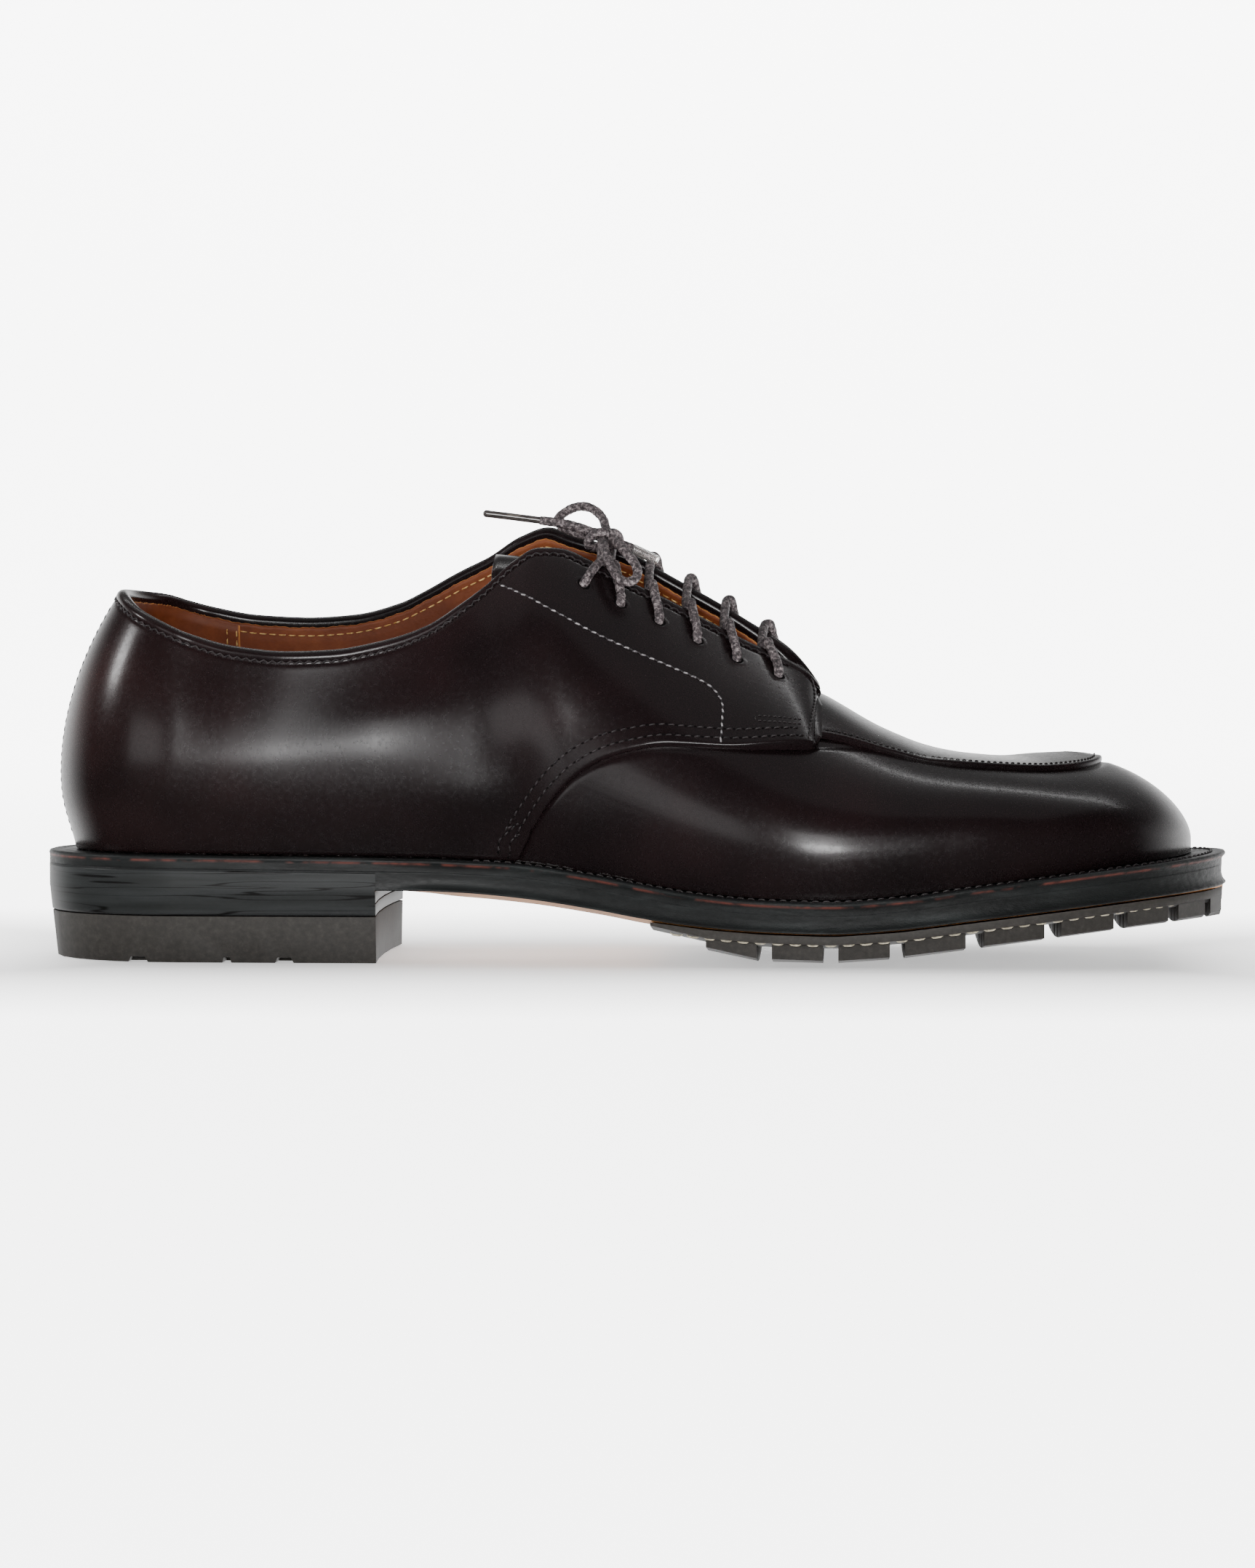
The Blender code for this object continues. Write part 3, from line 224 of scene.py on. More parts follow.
INNER_EDGE = np.array(
    [
        # along, y, height, lean
        (0.0635, 0.222, 0.766, 56),
        (0.089, 0.222, 0.753, 66),
        (0.108, 0.222, 0.733, 72),
        (0.128, 0.222, 0.715, 76),
        (0.169, 0.227, 0.690, 80),
        (0.211, 0.228, 0.684, 80),
        (0.252, 0.227, 0.694, 80),
        (0.294, 0.218, 0.733, 77),
        (0.315, 0.208, 0.769, 74),
        (0.350, 0.188, 0.838, 69),
        (0.372, 0.172, 0.879, 66),
        (0.400, 0.148, 0.944, 63),
        (0.426, 0.128, 0.978, 60),
        (0.446, 0.118, 0.962, 58),
        (0.469, 0.112, 0.952, 56),
        (0.497, 0.107, 0.934, 54),
        (0.516, 0.102, 0.906, 52),
        (0.547, 0.095, 0.863, 48),
        (0.578, 0.088, 0.813, 44),
        (0.609, 0.079, 0.749, 40),
        (0.625, 0.074, 0.708, 36),
        (0.640, 0.069, 0.651, 30),
        (0.653, 0.064, 0.585, 20),
    ]
)

# Ridge of the vamp over the welt, and the quarter's lower edge, shares of INSTEP_HEIGHT
RIDGE = np.array(
    [
        # along, height
        (0.653, 0.585),
        (0.676, 0.538),
        (0.704, 0.475),
        (0.723, 0.440),
        (0.742, 0.406),
        (0.761, 0.379),
        (0.779, 0.360),
        (0.817, 0.337),
        (0.836, 0.335),
        (0.865, 0.329),
    ]
)
QUARTER_FOOT = np.array(
    [
        # along, height
        (0.4055, 0.000),
        (0.416, 0.075),
        (0.428, 0.142),
        (0.442, 0.213),
        (0.458, 0.275),
        (0.480, 0.331),
        (0.503, 0.370),
        (0.538, 0.406),
        (0.572, 0.413),
        (0.640, 0.422),
        (0.653, 0.417),
    ]
)
# Half width of the apron from the ridge, shares of BALL_WIDTH
APRON = np.array(
    [
        # along, half
        (0.653, 0.318),
        (0.690, 0.290),
        (0.725, 0.278),
        (0.740, 0.276),
    ]
)

# Middle of the tongue over the welt, shares of INSTEP_HEIGHT
TONGUE = np.array(
    [
        # along, height
        (0.383, 0.884),
        (0.402, 0.882),
        (0.435, 0.874),
        (0.467, 0.853),
        (0.500, 0.822),
        (0.533, 0.783),
        (0.565, 0.739),
        (0.598, 0.690),
        (0.624, 0.634),
        (0.640, 0.572),
        (0.653, 0.532),
        (0.682, 0.475),
    ]
)

# A lace over a facing: distance from its edge as a share of EYELET_SETBACK less shares of the lace's
# clearance, and height over its outer face as a share of that clearance less a share of WALL
FACING_CLIMB = np.array(
    [
        # setback, beyond, over, under
        (1.00, 0.0, 1.0, 0.0),
        (0.72, 0.0, 1.0, 0.0),
        (0.44, 0.0, 1.0, 0.0),
        (0.20, 0.0, 1.0, 0.0),
        (0.04, 0.0, 1.0, 0.0),
        (0.00, 1.0, 0.8, 0.0),
        (0.00, 1.5, 0.0, 0.7),
    ]
)

# Routes of the bow in millimetres from the knot's middle: towards the toe, inwards, up
KNOT_PLACE = (-0.0084, 0.0010, 0.1087)
LOOP_FAR = (
    (0.6, 2.6, 2.9),
    (0.0, 4.6, 5.0),
    (-2.4, 6.6, 7.4),
    (-5.2, 7.6, 8.4),
    (-8.0, 7.2, 8.0),
    (-11.0, 6.0, 6.2),
    (-12.3, 5.2, 4.4),
    (-10.6, 4.8, 2.8),
    (-7.2, 4.6, 1.3),
    (-3.9, 4.0, 0.4),
)
LOOP_NEAR = (
    (0.4, -2.6, -0.2),
    (0.8, -6.8, -1.7),
    (1.8, -12.0, -5.0),
    (3.6, -16.2, -8.4),
    (5.4, -18.6, -11.0),
    (7.6, -20.2, -11.9),
    (9.6, -20.2, -11.2),
    (10.2, -18.2, -9.2),
    (9.2, -15.6, -6.8),
    (7.2, -13.0, -4.6),
    (5.2, -9.0, -2.4),
    (3.4, -5.0, -1.2),
)
END_BACK = (
    (-3.5, -0.6, 1.7),
    (-6.6, 0.2, 2.9),
    (-10.8, 0.9, 3.8),
    (-15.2, 1.2, 4.4),
    (-23.0, 1.0, 5.4),
    (-31.2, 0.6, 6.4),
)
END_FRONT = (
    (4.0, 0.6, -1.2),
    (5.8, 0.4, -2.0),
    (7.4, 0.2, -2.6),
    (11.0, 0.4, -4.3),
    (14.6, 0.6, -6.1),
)


def curve_of(table, column, along):
    """A smooth column of a table that never overshoots its rows (cubic pieces, limited slopes)."""
    x = table[:, 0]
    y = table[:, column]
    run = np.diff(x)
    grade = np.diff(y) / run
    slope = np.zeros(len(x))
    same = grade[:-1] * grade[1:] > 0
    mean = (run[:-1] + run[1:]) * 3
    w1 = 2 * run[1:] + run[:-1]
    w2 = run[1:] + 2 * run[:-1]
    blend = w1 / np.where(same, grade[:-1], 1) + w2 / np.where(same, grade[1:], 1)
    slope[1:-1] = np.where(same, mean / blend, 0)
    slope[0], slope[-1] = grade[0], grade[-1]
    at = np.clip(np.asarray(along, float), x[0], x[-1])
    i = np.clip(np.searchsorted(x, at) - 1, 0, len(run) - 1)
    t = (at - x[i]) / run[i]
    rise = y[i] * (1 + 2 * t) * (1 - t) ** 2 + y[i + 1] * t * t * (3 - 2 * t)
    return rise + run[i] * (slope[i] * t * (1 - t) ** 2 - slope[i + 1] * t * t * (1 - t))


def along_of(x):
    """Share of the shoe's length, from the heel's back."""
    return np.asarray(x) / SHOE_LENGTH + 0.5


def bottom_z(x):
    """Height of the sole's lower edge."""
    a = along_of(x)
    heel = (HEEL_HEIGHT - BALL_LIFT) * curve_of(PROFILE, 1, a)
    return BALL_LIFT + heel + TOE_SPRING * curve_of(PROFILE, 2, a)


def welt_z(x):
    """Height of the welt's top."""
    return bottom_z(x) + SOLE_EDGE * curve_of(PROFILE, 3, along_of(x))


def plan_place(p):
    """Place along the shoe of p, from 0 at the heel's back to 1 at the toe's tip.

    Up to HEEL_SHARE p turns round the heel, after TOE_SHARE round the toe, and between them it runs
    straight. Gives x on the sole's edge, the sine of the heel's turn, and the cosine and the sine
    of the toe's turn.
    """
    p = np.asarray(p, float)
    heel = np.clip(p / HEEL_SHARE, -1, 1) * math.pi / 2
    toe = np.clip((p - TOE_SHARE) / (1 - TOE_SHARE), 0, 2) * math.pi / 2
    run = np.clip((p - HEEL_SHARE) / (TOE_SHARE - HEEL_SHARE), 0, 1)
    x = HEEL_X + (TOE_X - HEEL_X) * run
    x = x - HEEL_ROUND * np.cos(heel) + TOE_ROUND * np.sin(toe)
    return x, np.sin(heel), np.cos(toe), np.sin(toe)


def place_of_x(x):
    """The p of a section between the heel's fan and the toe's fan."""
    return HEEL_SHARE + (TOE_SHARE - HEEL_SHARE) * (np.asarray(x) - HEEL_X) / (TOE_X - HEEL_X)


def power(value, exponent):
    """A signed power, so that a fan runs on past its end."""
    return np.sign(value) * np.abs(value) ** exponent


def sole_edge(p, side):
    """Plan of the sole's edge on one side (-1 outer, 1 inner) as x, y.

    Half widths come from PLAN. They shrink with the sine round the heel and with the cosine round
    the toe, whose tip lies TOE_SWING off the middle line.
    """
    x, heel, toe, _ = plan_place(p)
    column = 1 if side < 0 else 2
    half = BALL_WIDTH * curve_of(PLAN, column, along_of(np.clip(x, HEEL_X, TOE_X)))
    y = side * half * power(heel, HEEL_SQUARENESS)
    swing = TOE_SWING * (1 - toe)
    return np.stack([x, swing + y * power(toe, TOE_POINT)], axis=-1)


def inset_edge(p, side, inset):
    """The sole's edge moved inwards by inset, square to itself."""
    step = 1e-4
    run = sole_edge(p + step, side) - sole_edge(p - step, side)
    run /= np.linalg.norm(run, axis=-1)[..., None]
    inward = np.stack([run[..., 1], -run[..., 0]], axis=-1) * side
    return sole_edge(p, side) + inward * np.asarray(inset)[..., None]


def upper_inset(p):
    """How far the upper's foot lies inside the sole's edge."""
    x = plan_place(p)[0]
    return WELT_WIDTH * curve_of(INSET, 1, along_of(x))


def upper_foot(p, side):
    """The upper's lower edge on the welt."""
    xy = inset_edge(p, side, upper_inset(p))
    return np.concatenate([xy, (welt_z(xy[..., 0]) + CLEARANCE)[..., None]], axis=-1)


def upper_bulge(p, side, foot):
    """The fullest line of the side."""
    along = along_of(foot[..., 0])
    out = INSTEP_HEIGHT * curve_of(BULGE, 1 if side < 0 else 2, along)
    xy = inset_edge(p, side, upper_inset(p) - out)
    z = foot[..., 2] + INSTEP_HEIGHT * curve_of(BULGE, 3, along)
    return np.concatenate([xy, z[..., None]], axis=-1)


def ridge_point(x):
    """The vamp's ridge at x."""
    share = np.clip((x - THROAT_X) / (TOE_POLE_X - THROAT_X), 0, 1)
    y = RIDGE_SHIFT + (TOE_SWING - RIDGE_SHIFT) * share
    z = welt_z(x) + INSTEP_HEIGHT * curve_of(RIDGE, 1, along_of(x)) - OVERLAY
    return np.stack([x, y, z], axis=-1)


def upper_head(p, side, vamp):
    """Upper end of a section and the slope there: the collar or facing, or the vamp's ridge."""
    x, heel, _, turn = plan_place(p)
    back = (HEEL_ROUND - COLLAR_BACK) * np.sqrt(np.clip(1 - heel**2, 0, None))
    at = np.where(x < HEEL_X, HEEL_X - back, x)
    table = OUTER_EDGE if side < 0 else INNER_EDGE
    along = along_of(at)
    half = BALL_WIDTH * curve_of(table, 1, along)
    z = welt_z(at) + INSTEP_HEIGHT * curve_of(table, 2, along)
    edge = np.stack([at, side * half * power(heel, HEEL_SQUARENESS), z], axis=-1)
    lean = np.radians(curve_of(table, 3, along))
    inward = inset_edge(p, side, np.ones_like(p)) - sole_edge(p, side)
    edge[..., :2] += OVERLAY * np.sin(lean)[..., None] * inward
    edge[..., 2] -= OVERLAY * np.cos(lean)
    ridge = ridge_point(np.where(turn > 0, TOE_X + (TOE_POLE_X - TOE_X) * turn, x))
    vamp = np.broadcast_to(vamp, np.shape(p))
    return np.where(vamp[..., None], ridge, edge), np.where(vamp, 0.0, lean)


def section(p, side, vamp):
    """Sections of the upper's outside, from its foot to its head, as fine rows of points.

    Two cubic curves meet upright at the fullest line: the lower one leaves the foot, the upper one
    ends at the head with the slope that the head gives.
    """
    p = np.asarray(p, float)
    foot = upper_foot(p, side)
    full = upper_bulge(p, side, foot)
    head, lean = upper_head(p, side, vamp)
    inward = inset_edge(p, side, np.ones_like(p)) - sole_edge(p, side)
    into = np.concatenate([inward * np.cos(lean)[..., None], np.sin(lean)[..., None]], axis=-1)
    up = np.array([0.0, 0.0, 1.0])
    rise = np.linalg.norm(full - foot, axis=-1)[..., None]
    reach = np.linalg.norm(head - full, axis=-1)[..., None]
    along = along_of(foot[..., 0])
    low = curve_of(BULGE, 4, along)[..., None]
    high = curve_of(BULGE, 5, along)[..., None]
    t = np.linspace(0, 1, 33)[:, None]
    lower = cubic(foot, foot + (full - foot) * 0.4, full - up * rise * 0.45, full, t)
    upper = cubic(full, full + up * reach * low, head - into * reach * high, head, t)
    return np.concatenate([lower, upper[..., 1:, :]], axis=-2)


def cubic(a, b, c, d, t):
    """A cubic Bezier curve for each row of control points, at the shares t."""
    a, b, c, d = (q[..., None, :] for q in (a, b, c, d))
    return a * (1 - t) ** 3 + 3 * b * t * (1 - t) ** 2 + 3 * c * t * t * (1 - t) + d * t**3


def at_share(rows, share):
    """Points at shares of the length of each row of points."""
    step = np.linalg.norm(np.diff(rows, axis=-2), axis=-1)
    run = np.concatenate([np.zeros((*step.shape[:-1], 1)), np.cumsum(step, axis=-1)], axis=-1)
    run /= run[..., -1:]
    out = np.empty((len(rows), share.shape[-1], 3))
    for i in range(len(rows)):
        for k in range(3):
            out[i, :, k] = np.interp(share[i], run[i], rows[i, :, k])
    return out


def outside(p, side, vamp, share):
    """Points and outward normals of the last's outside at places p and shares of each section."""
    step_p, step_v = 1e-3, 4e-3
    share = np.broadcast_to(share, (len(p), np.shape(share)[-1]))
    here = at_share(section(p, side, vamp), share)
    safe = np.clip(share, 0.01, 0.985)
    ahead = at_share(section(p + step_p, side, vamp), safe)
    along_p = ahead - at_share(section(p - step_p, side, vamp), safe)
    rows = section(p, side, vamp)
    along_v = at_share(rows, safe + step_v) - at_share(rows, safe - step_v)
    normal = np.cross(along_p, along_v) * -side
    normal /= np.linalg.norm(normal, axis=-1)[..., None]
    return here, normal


def overlay_line(p, side, vamp):
    """Share of each section at which the quarter's or the apron's lower edge crosses it."""
    rows = section(p, side, vamp)
    x, y, z = rows[..., 0], rows[..., 1], rows[..., 2]
    ridge_y = ridge_point(x)[..., 1]
    half = BALL_WIDTH * curve_of(APRON, 1, along_of(x))
    ahead = np.clip((x - TOE_X) / (APRON_FRONT_X - TOE_X), 0, None)
    apron = 1 - ((y - ridge_y) / half) ** 2 - ahead**2
    foot = INSTEP_HEIGHT * curve_of(QUARTER_FOOT, 1, along_of(x))
    quarter = z - welt_z(x) - foot
    inside = np.where(np.broadcast_to(vamp, np.shape(p))[:, None], apron, quarter)
    step = np.linalg.norm(np.diff(rows, axis=-2), axis=-1)
    run = np.concatenate([np.zeros((len(rows), 1)), np.cumsum(step, axis=-1)], axis=-1)
    first = np.argmax(inside > 0, axis=-1)
    pick = np.arange(len(rows))
    before = np.clip(first - 1, 0, None)
    a, b = inside[pick, before], inside[pick, first]
    t = np.where(first > 0, -a / np.where(b - a == 0, 1, b - a), 0)
    at = run[pick, before] * (1 - t) + run[pick, first] * t
    return np.clip(at / run[:, -1], 0.06, 0.97), run[:, -1]


def ramp(x, start, end):
    """A soft step from 0 at start to 1 at end."""
    t = np.clip((x - start) / (end - start), 0, 1)
    return t * t * (3 - 2 * t)


def from_heel(start, round_count, end_x, side_count):
    """Places from a share of the heel's round on along the side to end_x."""
    heel = np.linspace(start, HEEL_SHARE, round_count)[:-1]
    return np.concatenate([heel, place_of_x(np.linspace(HEEL_X, end_x, side_count))])


def to_toe(start_x, side_count, round_count, end=1):
    """Places from start_x along the side and round the toe to a share of its round."""
    along = place_of_x(np.linspace(start_x, TOE_X, side_count)[:-1])
    return np.concatenate([along, np.linspace(TOE_SHARE, end, round_count)])


def edge_point(p, side, inset, height):
    """Points along the sole's edge, moved inwards by inset, at the height that their x gives."""
    xy = inset_edge(p, side, np.broadcast_to(inset, p.shape))
    return np.concatenate([xy, height(xy[:, 0])[:, None]], axis=-1)


def camber_drop(p, share):
    """Drop of the bottom's middle at a share of the half width: a parabola across."""
    x = plan_place(p)[0]
    return CAMBER * curve_of(PROFILE, 4, along_of(x)) * (1 - share**2)


def across(p, inset, shares):
    """Plan points across the sole, from its outer to its inner edge moved inwards by inset."""
    outer = inset_edge(p, -1, np.full_like(p, inset))
    inner = inset_edge(p, 1, np.full_like(p, inset))
    t = (np.asarray(shares) + 1) / 2
    return outer[:, None] * (1 - t[None, :, None]) + inner[:, None] * t[None, :, None]


def row_length(rows):
    """Length of each row of points, the sum of its steps."""
    return np.linalg.norm(np.diff(rows, axis=1), axis=-1).sum(axis=-1)


def lengths_along(route):
    """Length from a route's start to each of its points."""
    return np.concatenate([[0], np.cumsum(np.linalg.norm(np.diff(route, axis=0), axis=1))])


def along_route(route, run, at):
    """Points of a route at given lengths along it."""
    return np.stack([np.interp(at, run, route[:, k]) for k in range(route.shape[1])], axis=-1)


def smooth_route(points, count):
    """Evenly spaced points of a smooth curve through the given ones (Catmull-Rom)."""
    points = np.asarray(points, float)
    ends = np.concatenate([[2 * points[0] - points[1]], points, [2 * points[-1] - points[-2]]])
    t = np.linspace(0, 1, 12, endpoint=False)[:, None]
    fine = []
    for a, b, c, d in zip(ends, ends[1:], ends[2:], ends[3:]):
        bend = (2 * a - 5 * b + 4 * c - d) * t**2 + (3 * b - a - 3 * c + d) * t**3
        fine.append(b + (c - a) * t / 2 + bend / 2)
    fine = np.concatenate([*fine, points[-1:]])
    run = lengths_along(fine)
    return along_route(fine, run, np.linspace(0, run[-1], count))


def facing_route(x, side, distance, over, lean=CLIMB_LEAN):
    """Points over one facing at distances from its edge and heights over its outer face.

    The route runs square to the facing's slanted edge, so it leans back as it climbs. A negative
    distance lies beyond the edge.
    """
    place = place_of_x(x - lean * (EYELET_SETBACK - distance))
    vamp = np.zeros(len(place), bool)
    rows = section(place, side, vamp)
    length = row_length(rows)
    share = np.clip(1 - distance / length, 0, 1)[:, None]
    points, normal = outside(place, side, vamp, share)
    lift = quarter_lift(points[..., 0])
    beyond = rows[:, -1] - rows[:, -3]
    beyond /= np.linalg.norm(beyond, axis=-1)[:, None]
    off = (points + normal * (lift[..., None] + over[:, None, None]))[:, 0]
    return off + beyond * np.clip(-distance, 0, None)[:, None]


def bar_route(x, lean=CLIMB_LEAN, middle=()):
    """A lace's run from the outer eyelet over both facings to the inner one."""
    clear = LACE_FIT + LACE_DIAMETER / 2
    climb = EYELET_SETBACK * FACING_CLIMB[:, 0] - clear * FACING_CLIMB[:, 1]
    over = clear * FACING_CLIMB[:, 2] - WALL * FACING_CLIMB[:, 3]
    outer = facing_route(x, -1, climb, over, lean)
    inner = facing_route(x, 1, climb, over, lean)[::-1]
    return [*outer, *middle, *inner]


def eyelet_places():
    """Evenly spaced x of the eyelets, from the knot's end forward."""
    return np.linspace(EYELET_FIRST_X, EYELET_LAST_X, EYELETS)


def lining_height(x, y, gap):
    """Height of a surface lying gap under the upper's inner skin at each x and its row of y.

    In the throat and the collar, where nothing is overhead, it rises out of the way.
    """
    share = np.linspace(0.5, 1.0, 20)[None, :]
    out = np.empty(y.shape)
    for i in range(len(x)):
        place = float(place_of_x(x[i]))
        vamp = bool(x[i] >= THROAT_X)
        line_y = []
        line_z = []
        for side in (-1, 1):
            points, normal = outside(np.array([place, place + 0.004]), side, vamp, share)
            skin, ahead = points - normal * (WALL + gap)
            skin = skin + (ahead - skin) * ((x[i] - skin[:, 0]) / (ahead[:, 0] - skin[:, 0]))[:, None]
            order = slice(None) if side < 0 else slice(None, None, -1)
            line_y.append(skin[order, 1])
            line_z.append(skin[order, 2])
        if not vamp:
            line_y.insert(1, np.array([line_y[0][-1] + 1e-4, line_y[1][0] - 1e-4]))
            line_z.insert(1, np.array([1.0, 1.0]))
        out[i] = np.interp(y[i], np.concatenate(line_y), np.concatenate(line_z))
    return out


# Pieces

TOP_STITCH = 0.0024  # first row inside a panel's edge
SECOND_ROW = 0.0052
EDGE_ROUND = 0.0005


def linear(code):
    """A linear colour from an sRGB hex code."""
    parts = [int(code[i : i + 2], 16) / 255 for i in (1, 3, 5)]
    return [c / 12.92 if c <= 0.04045 else ((c + 0.055) / 1.055) ** 2.4 for c in parts]


def add_mesh(name, points, faces, look, slot, smooth=True, attribute=None):
    """A mesh piece on the shoe's one body."""
    points = np.asarray(points, float).reshape(-1, 3) + (0.0, CENTRE_Y, 0.0)
    faces = np.asarray(faces, np.int32)
    mesh = bpy.data.meshes.new(name)
    mesh.vertices.add(len(points))
    mesh.vertices.foreach_set("co", points.astype(np.float32).ravel())
    count, sides = faces.shape
    mesh.loops.add(count * sides)
    mesh.loops.foreach_set("vertex_index", faces.ravel())
    mesh.polygons.add(count)
    mesh.polygons.foreach_set("loop_start", np.arange(0, count * sides, sides, dtype=np.int32))
    mesh.polygons.foreach_set("use_smooth", np.full(count, smooth))
    mesh.update(calc_edges=True)
    mesh.validate()
    if attribute is not None:
        layer = mesh.attributes.new("shade", "FLOAT", "POINT")
        layer.data.foreach_set("value", np.asarray(attribute, np.float32).ravel())
    mesh.materials.append(look)
    piece = bpy.data.objects.new(name, mesh)
    bpy.context.scene.collection.objects.link(piece)
    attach(piece, "root")
    return piece


def grid_faces(n, m, flip=False, wrap=False):
    """Quads of a grid of n by m points, the second way closed if wrap is set."""
    i, j = np.meshgrid(np.arange(n - 1), np.arange(m if wrap else m - 1), indexing="ij")
    k = (j + 1) % m
    quads = np.stack([i * m + j, (i + 1) * m + j, (i + 1) * m + k, i * m + k], axis=-1).reshape(-1, 4)
    return quads[:, ::-1] if flip else quads


def add_grid(name, points, look, slot, flip=False, wrap=False, attribute=None):
    """A piece from a grid of points."""
    n, m = points.shape[:2]
    return add_mesh(name, points, grid_faces(n, m, flip, wrap), look, slot, attribute=attribute)


def joined(parts):
    """Points and faces of several small meshes as one."""
    start = 0
    points = []
    faces = []
    for p, f in parts:
        points.append(p)
        faces.append(f + start)
        start += len(p)
    return np.concatenate(points), np.concatenate(faces)


def even(points, step):
    """Points about a step apart along a route."""
    run = lengths_along(points)
    count = max(2, int(round(run[-1] / step)) + 1)
    return along_route(points, run, np.linspace(0, run[-1], count))


def unit(v):
    """Vectors scaled to length one."""
    return v / np.maximum(np.linalg.norm(v, axis=-1, keepdims=True), 1e-12)


def stitch_places(route, pitch, shift):
    """Lengths along a route, and how far along it each stitch of an even row lies."""
    run = lengths_along(route)
    count = max(1, int(run[-1] / pitch))
    return run, (np.arange(count) + shift) * run[-1] / count


def stitch_row(route, normal, pitch, length, radius, lift=0.0, slant=0.0, shift=0.5):
    """Sewn stitches along a route: arched capsules whose ends dip into the leather.

    The arch falls with the fourth power of the distance from the stitch's middle. Slant moves
    a stitch's two ends sideways, opposite ways, so two rows of unlike slant look twisted. Shift
    is the first stitch's place as a share of the pitch.
    """
    run, centre = stitch_places(route, pitch, shift)
    station = np.linspace(-0.5, 0.5, 6)
    spot = along_route(route, run, centre[:, None] + station[None, :] * length)
    up = unit(along_route(normal, run, centre[:, None] + station[None, :] * length))
    ahead = unit(spot[:, -1] - spot[:, 0])[:, None, :]
    side = unit(np.cross(up, ahead))
    arch = radius * (1.3 * (1 - (2 * station) ** 4) - 0.75)
    spot = spot + up * (arch + lift)[None, :, None] + side * (station * slant)[None, :, None]
    turn = np.linspace(0, 2 * math.pi, 6, endpoint=False)
    thick = radius * np.array([0.5, 0.95, 1.0, 1.0, 0.95, 0.5])
    ring = np.cos(turn)[:, None] * side[:, :, None, :] + np.sin(turn)[:, None] * up[:, :, None, :]
    points = spot[:, :, None, :] + ring * thick[None, :, None, None]
    caps = np.array([[0, 1, 2, 3], [0, 3, 4, 5]])
    quads = np.concatenate([grid_faces(6, 6, wrap=True), caps, caps[:, ::-1] + 30])
    faces = (quads[None] + (np.arange(len(centre)) * 36)[:, None, None]).reshape(-1, 4)
    return points.reshape(-1, 3), faces


def needle_hole_shades(route, normal, pitch, radius, shift=0.0, lift=0.00006):
    """Flat six-sided dark spots between the stitches, where the needle went in: painted shade in place of
    holes in the leather.
    """
    run, centre = stitch_places(route, pitch, shift)
    spot = along_route(route, run, centre)
    up = unit(along_route(normal, run, centre))
    before, after = (along_route(route, run, centre + pitch * way) for way in (-0.2, 0.2))
    ahead = unit(after - before)
    side = unit(np.cross(up, ahead))
    turn = np.linspace(0, 2 * math.pi, 6, endpoint=False)[None, :, None]
    ring = np.cos(turn) * ahead[:, None] * 1.25 + np.sin(turn) * side[:, None]
    points = (spot + up * lift)[:, None] + ring * radius
    faces = np.array([[0, 1, 2, 3], [0, 3, 4, 5]])[None] + (np.arange(len(centre)) * 6)[:, None, None]
    return points.reshape(-1, 3), faces.reshape(-1, 4)


def eased(rows, spread):
    """Rows smoothed along their first axis by a bell curve that many columns wide, ends kept."""
    reach = int(3 * spread)
    bell = np.exp(-0.5 * (np.arange(-reach, reach + 1) / spread) ** 2)
    bell /= bell.sum()
    flat = rows.reshape(len(rows), -1)
    before = 2 * flat[0] - flat[reach:0:-1]
    after = 2 * flat[-1] - flat[-2 : -reach - 2 : -1]
    long = np.concatenate([before, flat, after])
    out = np.stack([np.convolve(long[:, k], bell, "valid") for k in range(flat.shape[1])], axis=1)
    return out.reshape(rows.shape)


def on_panel(side, line, vamp=False, lift=None):
    """Points and normals on a panel's face, along a line of x and arc length from the foot."""
    points, normal = side_point(side, line[:, 0], line[:, 1], vamp)
    if lift is None:
        lift = quarter_lift(line[:, 0], vamp)
    fold = creases(side, points[:, 0], points[:, 2])
    return points + normal * (lift + fold)[:, None], normal


def rod(route, radius, sides=16):
    """Rings of a round rod along a route.

    Each ring is the route's point plus the radius times the cosine and the sine of the turn,
    along two directions square to the route that are carried on from ring to ring untwisted.
    """
    ahead = unit(np.gradient(route, axis=0))
    radius = np.broadcast_to(radius, len(route))
    turn = np.linspace(0, 2 * math.pi, sides, endpoint=False)
    first = np.cross(ahead[0], (0.3, 0.1, 0.9))
    rings = []
    for point, way, r in zip(route, ahead, radius):
        first = first - way * (first @ way)
        first = first / np.linalg.norm(first)
        second = np.cross(way, first)
        rings.append(point + r * (np.cos(turn)[:, None] * first + np.sin(turn)[:, None] * second))
    return np.array(rings)


def side_point(side, x, up, vamp=False):
    """Points and normals of the last at x and the arc length up from the upper's foot."""
    p = place_of_x(np.asarray(x, float))
    vamp = np.full(len(p), vamp)
    rows = section(p, side, vamp)
    length = row_length(rows)
    points, normal = outside(p, side, vamp, (np.asarray(up) / length)[:, None])
    return points[:, 0], normal[:, 0]


def arc_of_height(side, x, z, vamp=False):
    """Arc length from the foot to the height z, for rows read from the side."""
    p = place_of_x(np.asarray(x, float))
    rows = section(p, side, np.full(len(p), vamp))
    step = np.linalg.norm(np.diff(rows, axis=1), axis=-1)
    run = np.concatenate([np.zeros((len(p), 1)), np.cumsum(step, axis=1)], axis=1)
    return np.array([np.interp(z[i], rows[i, :, 2], run[i]) for i in range(len(p))]), run[:, -1]


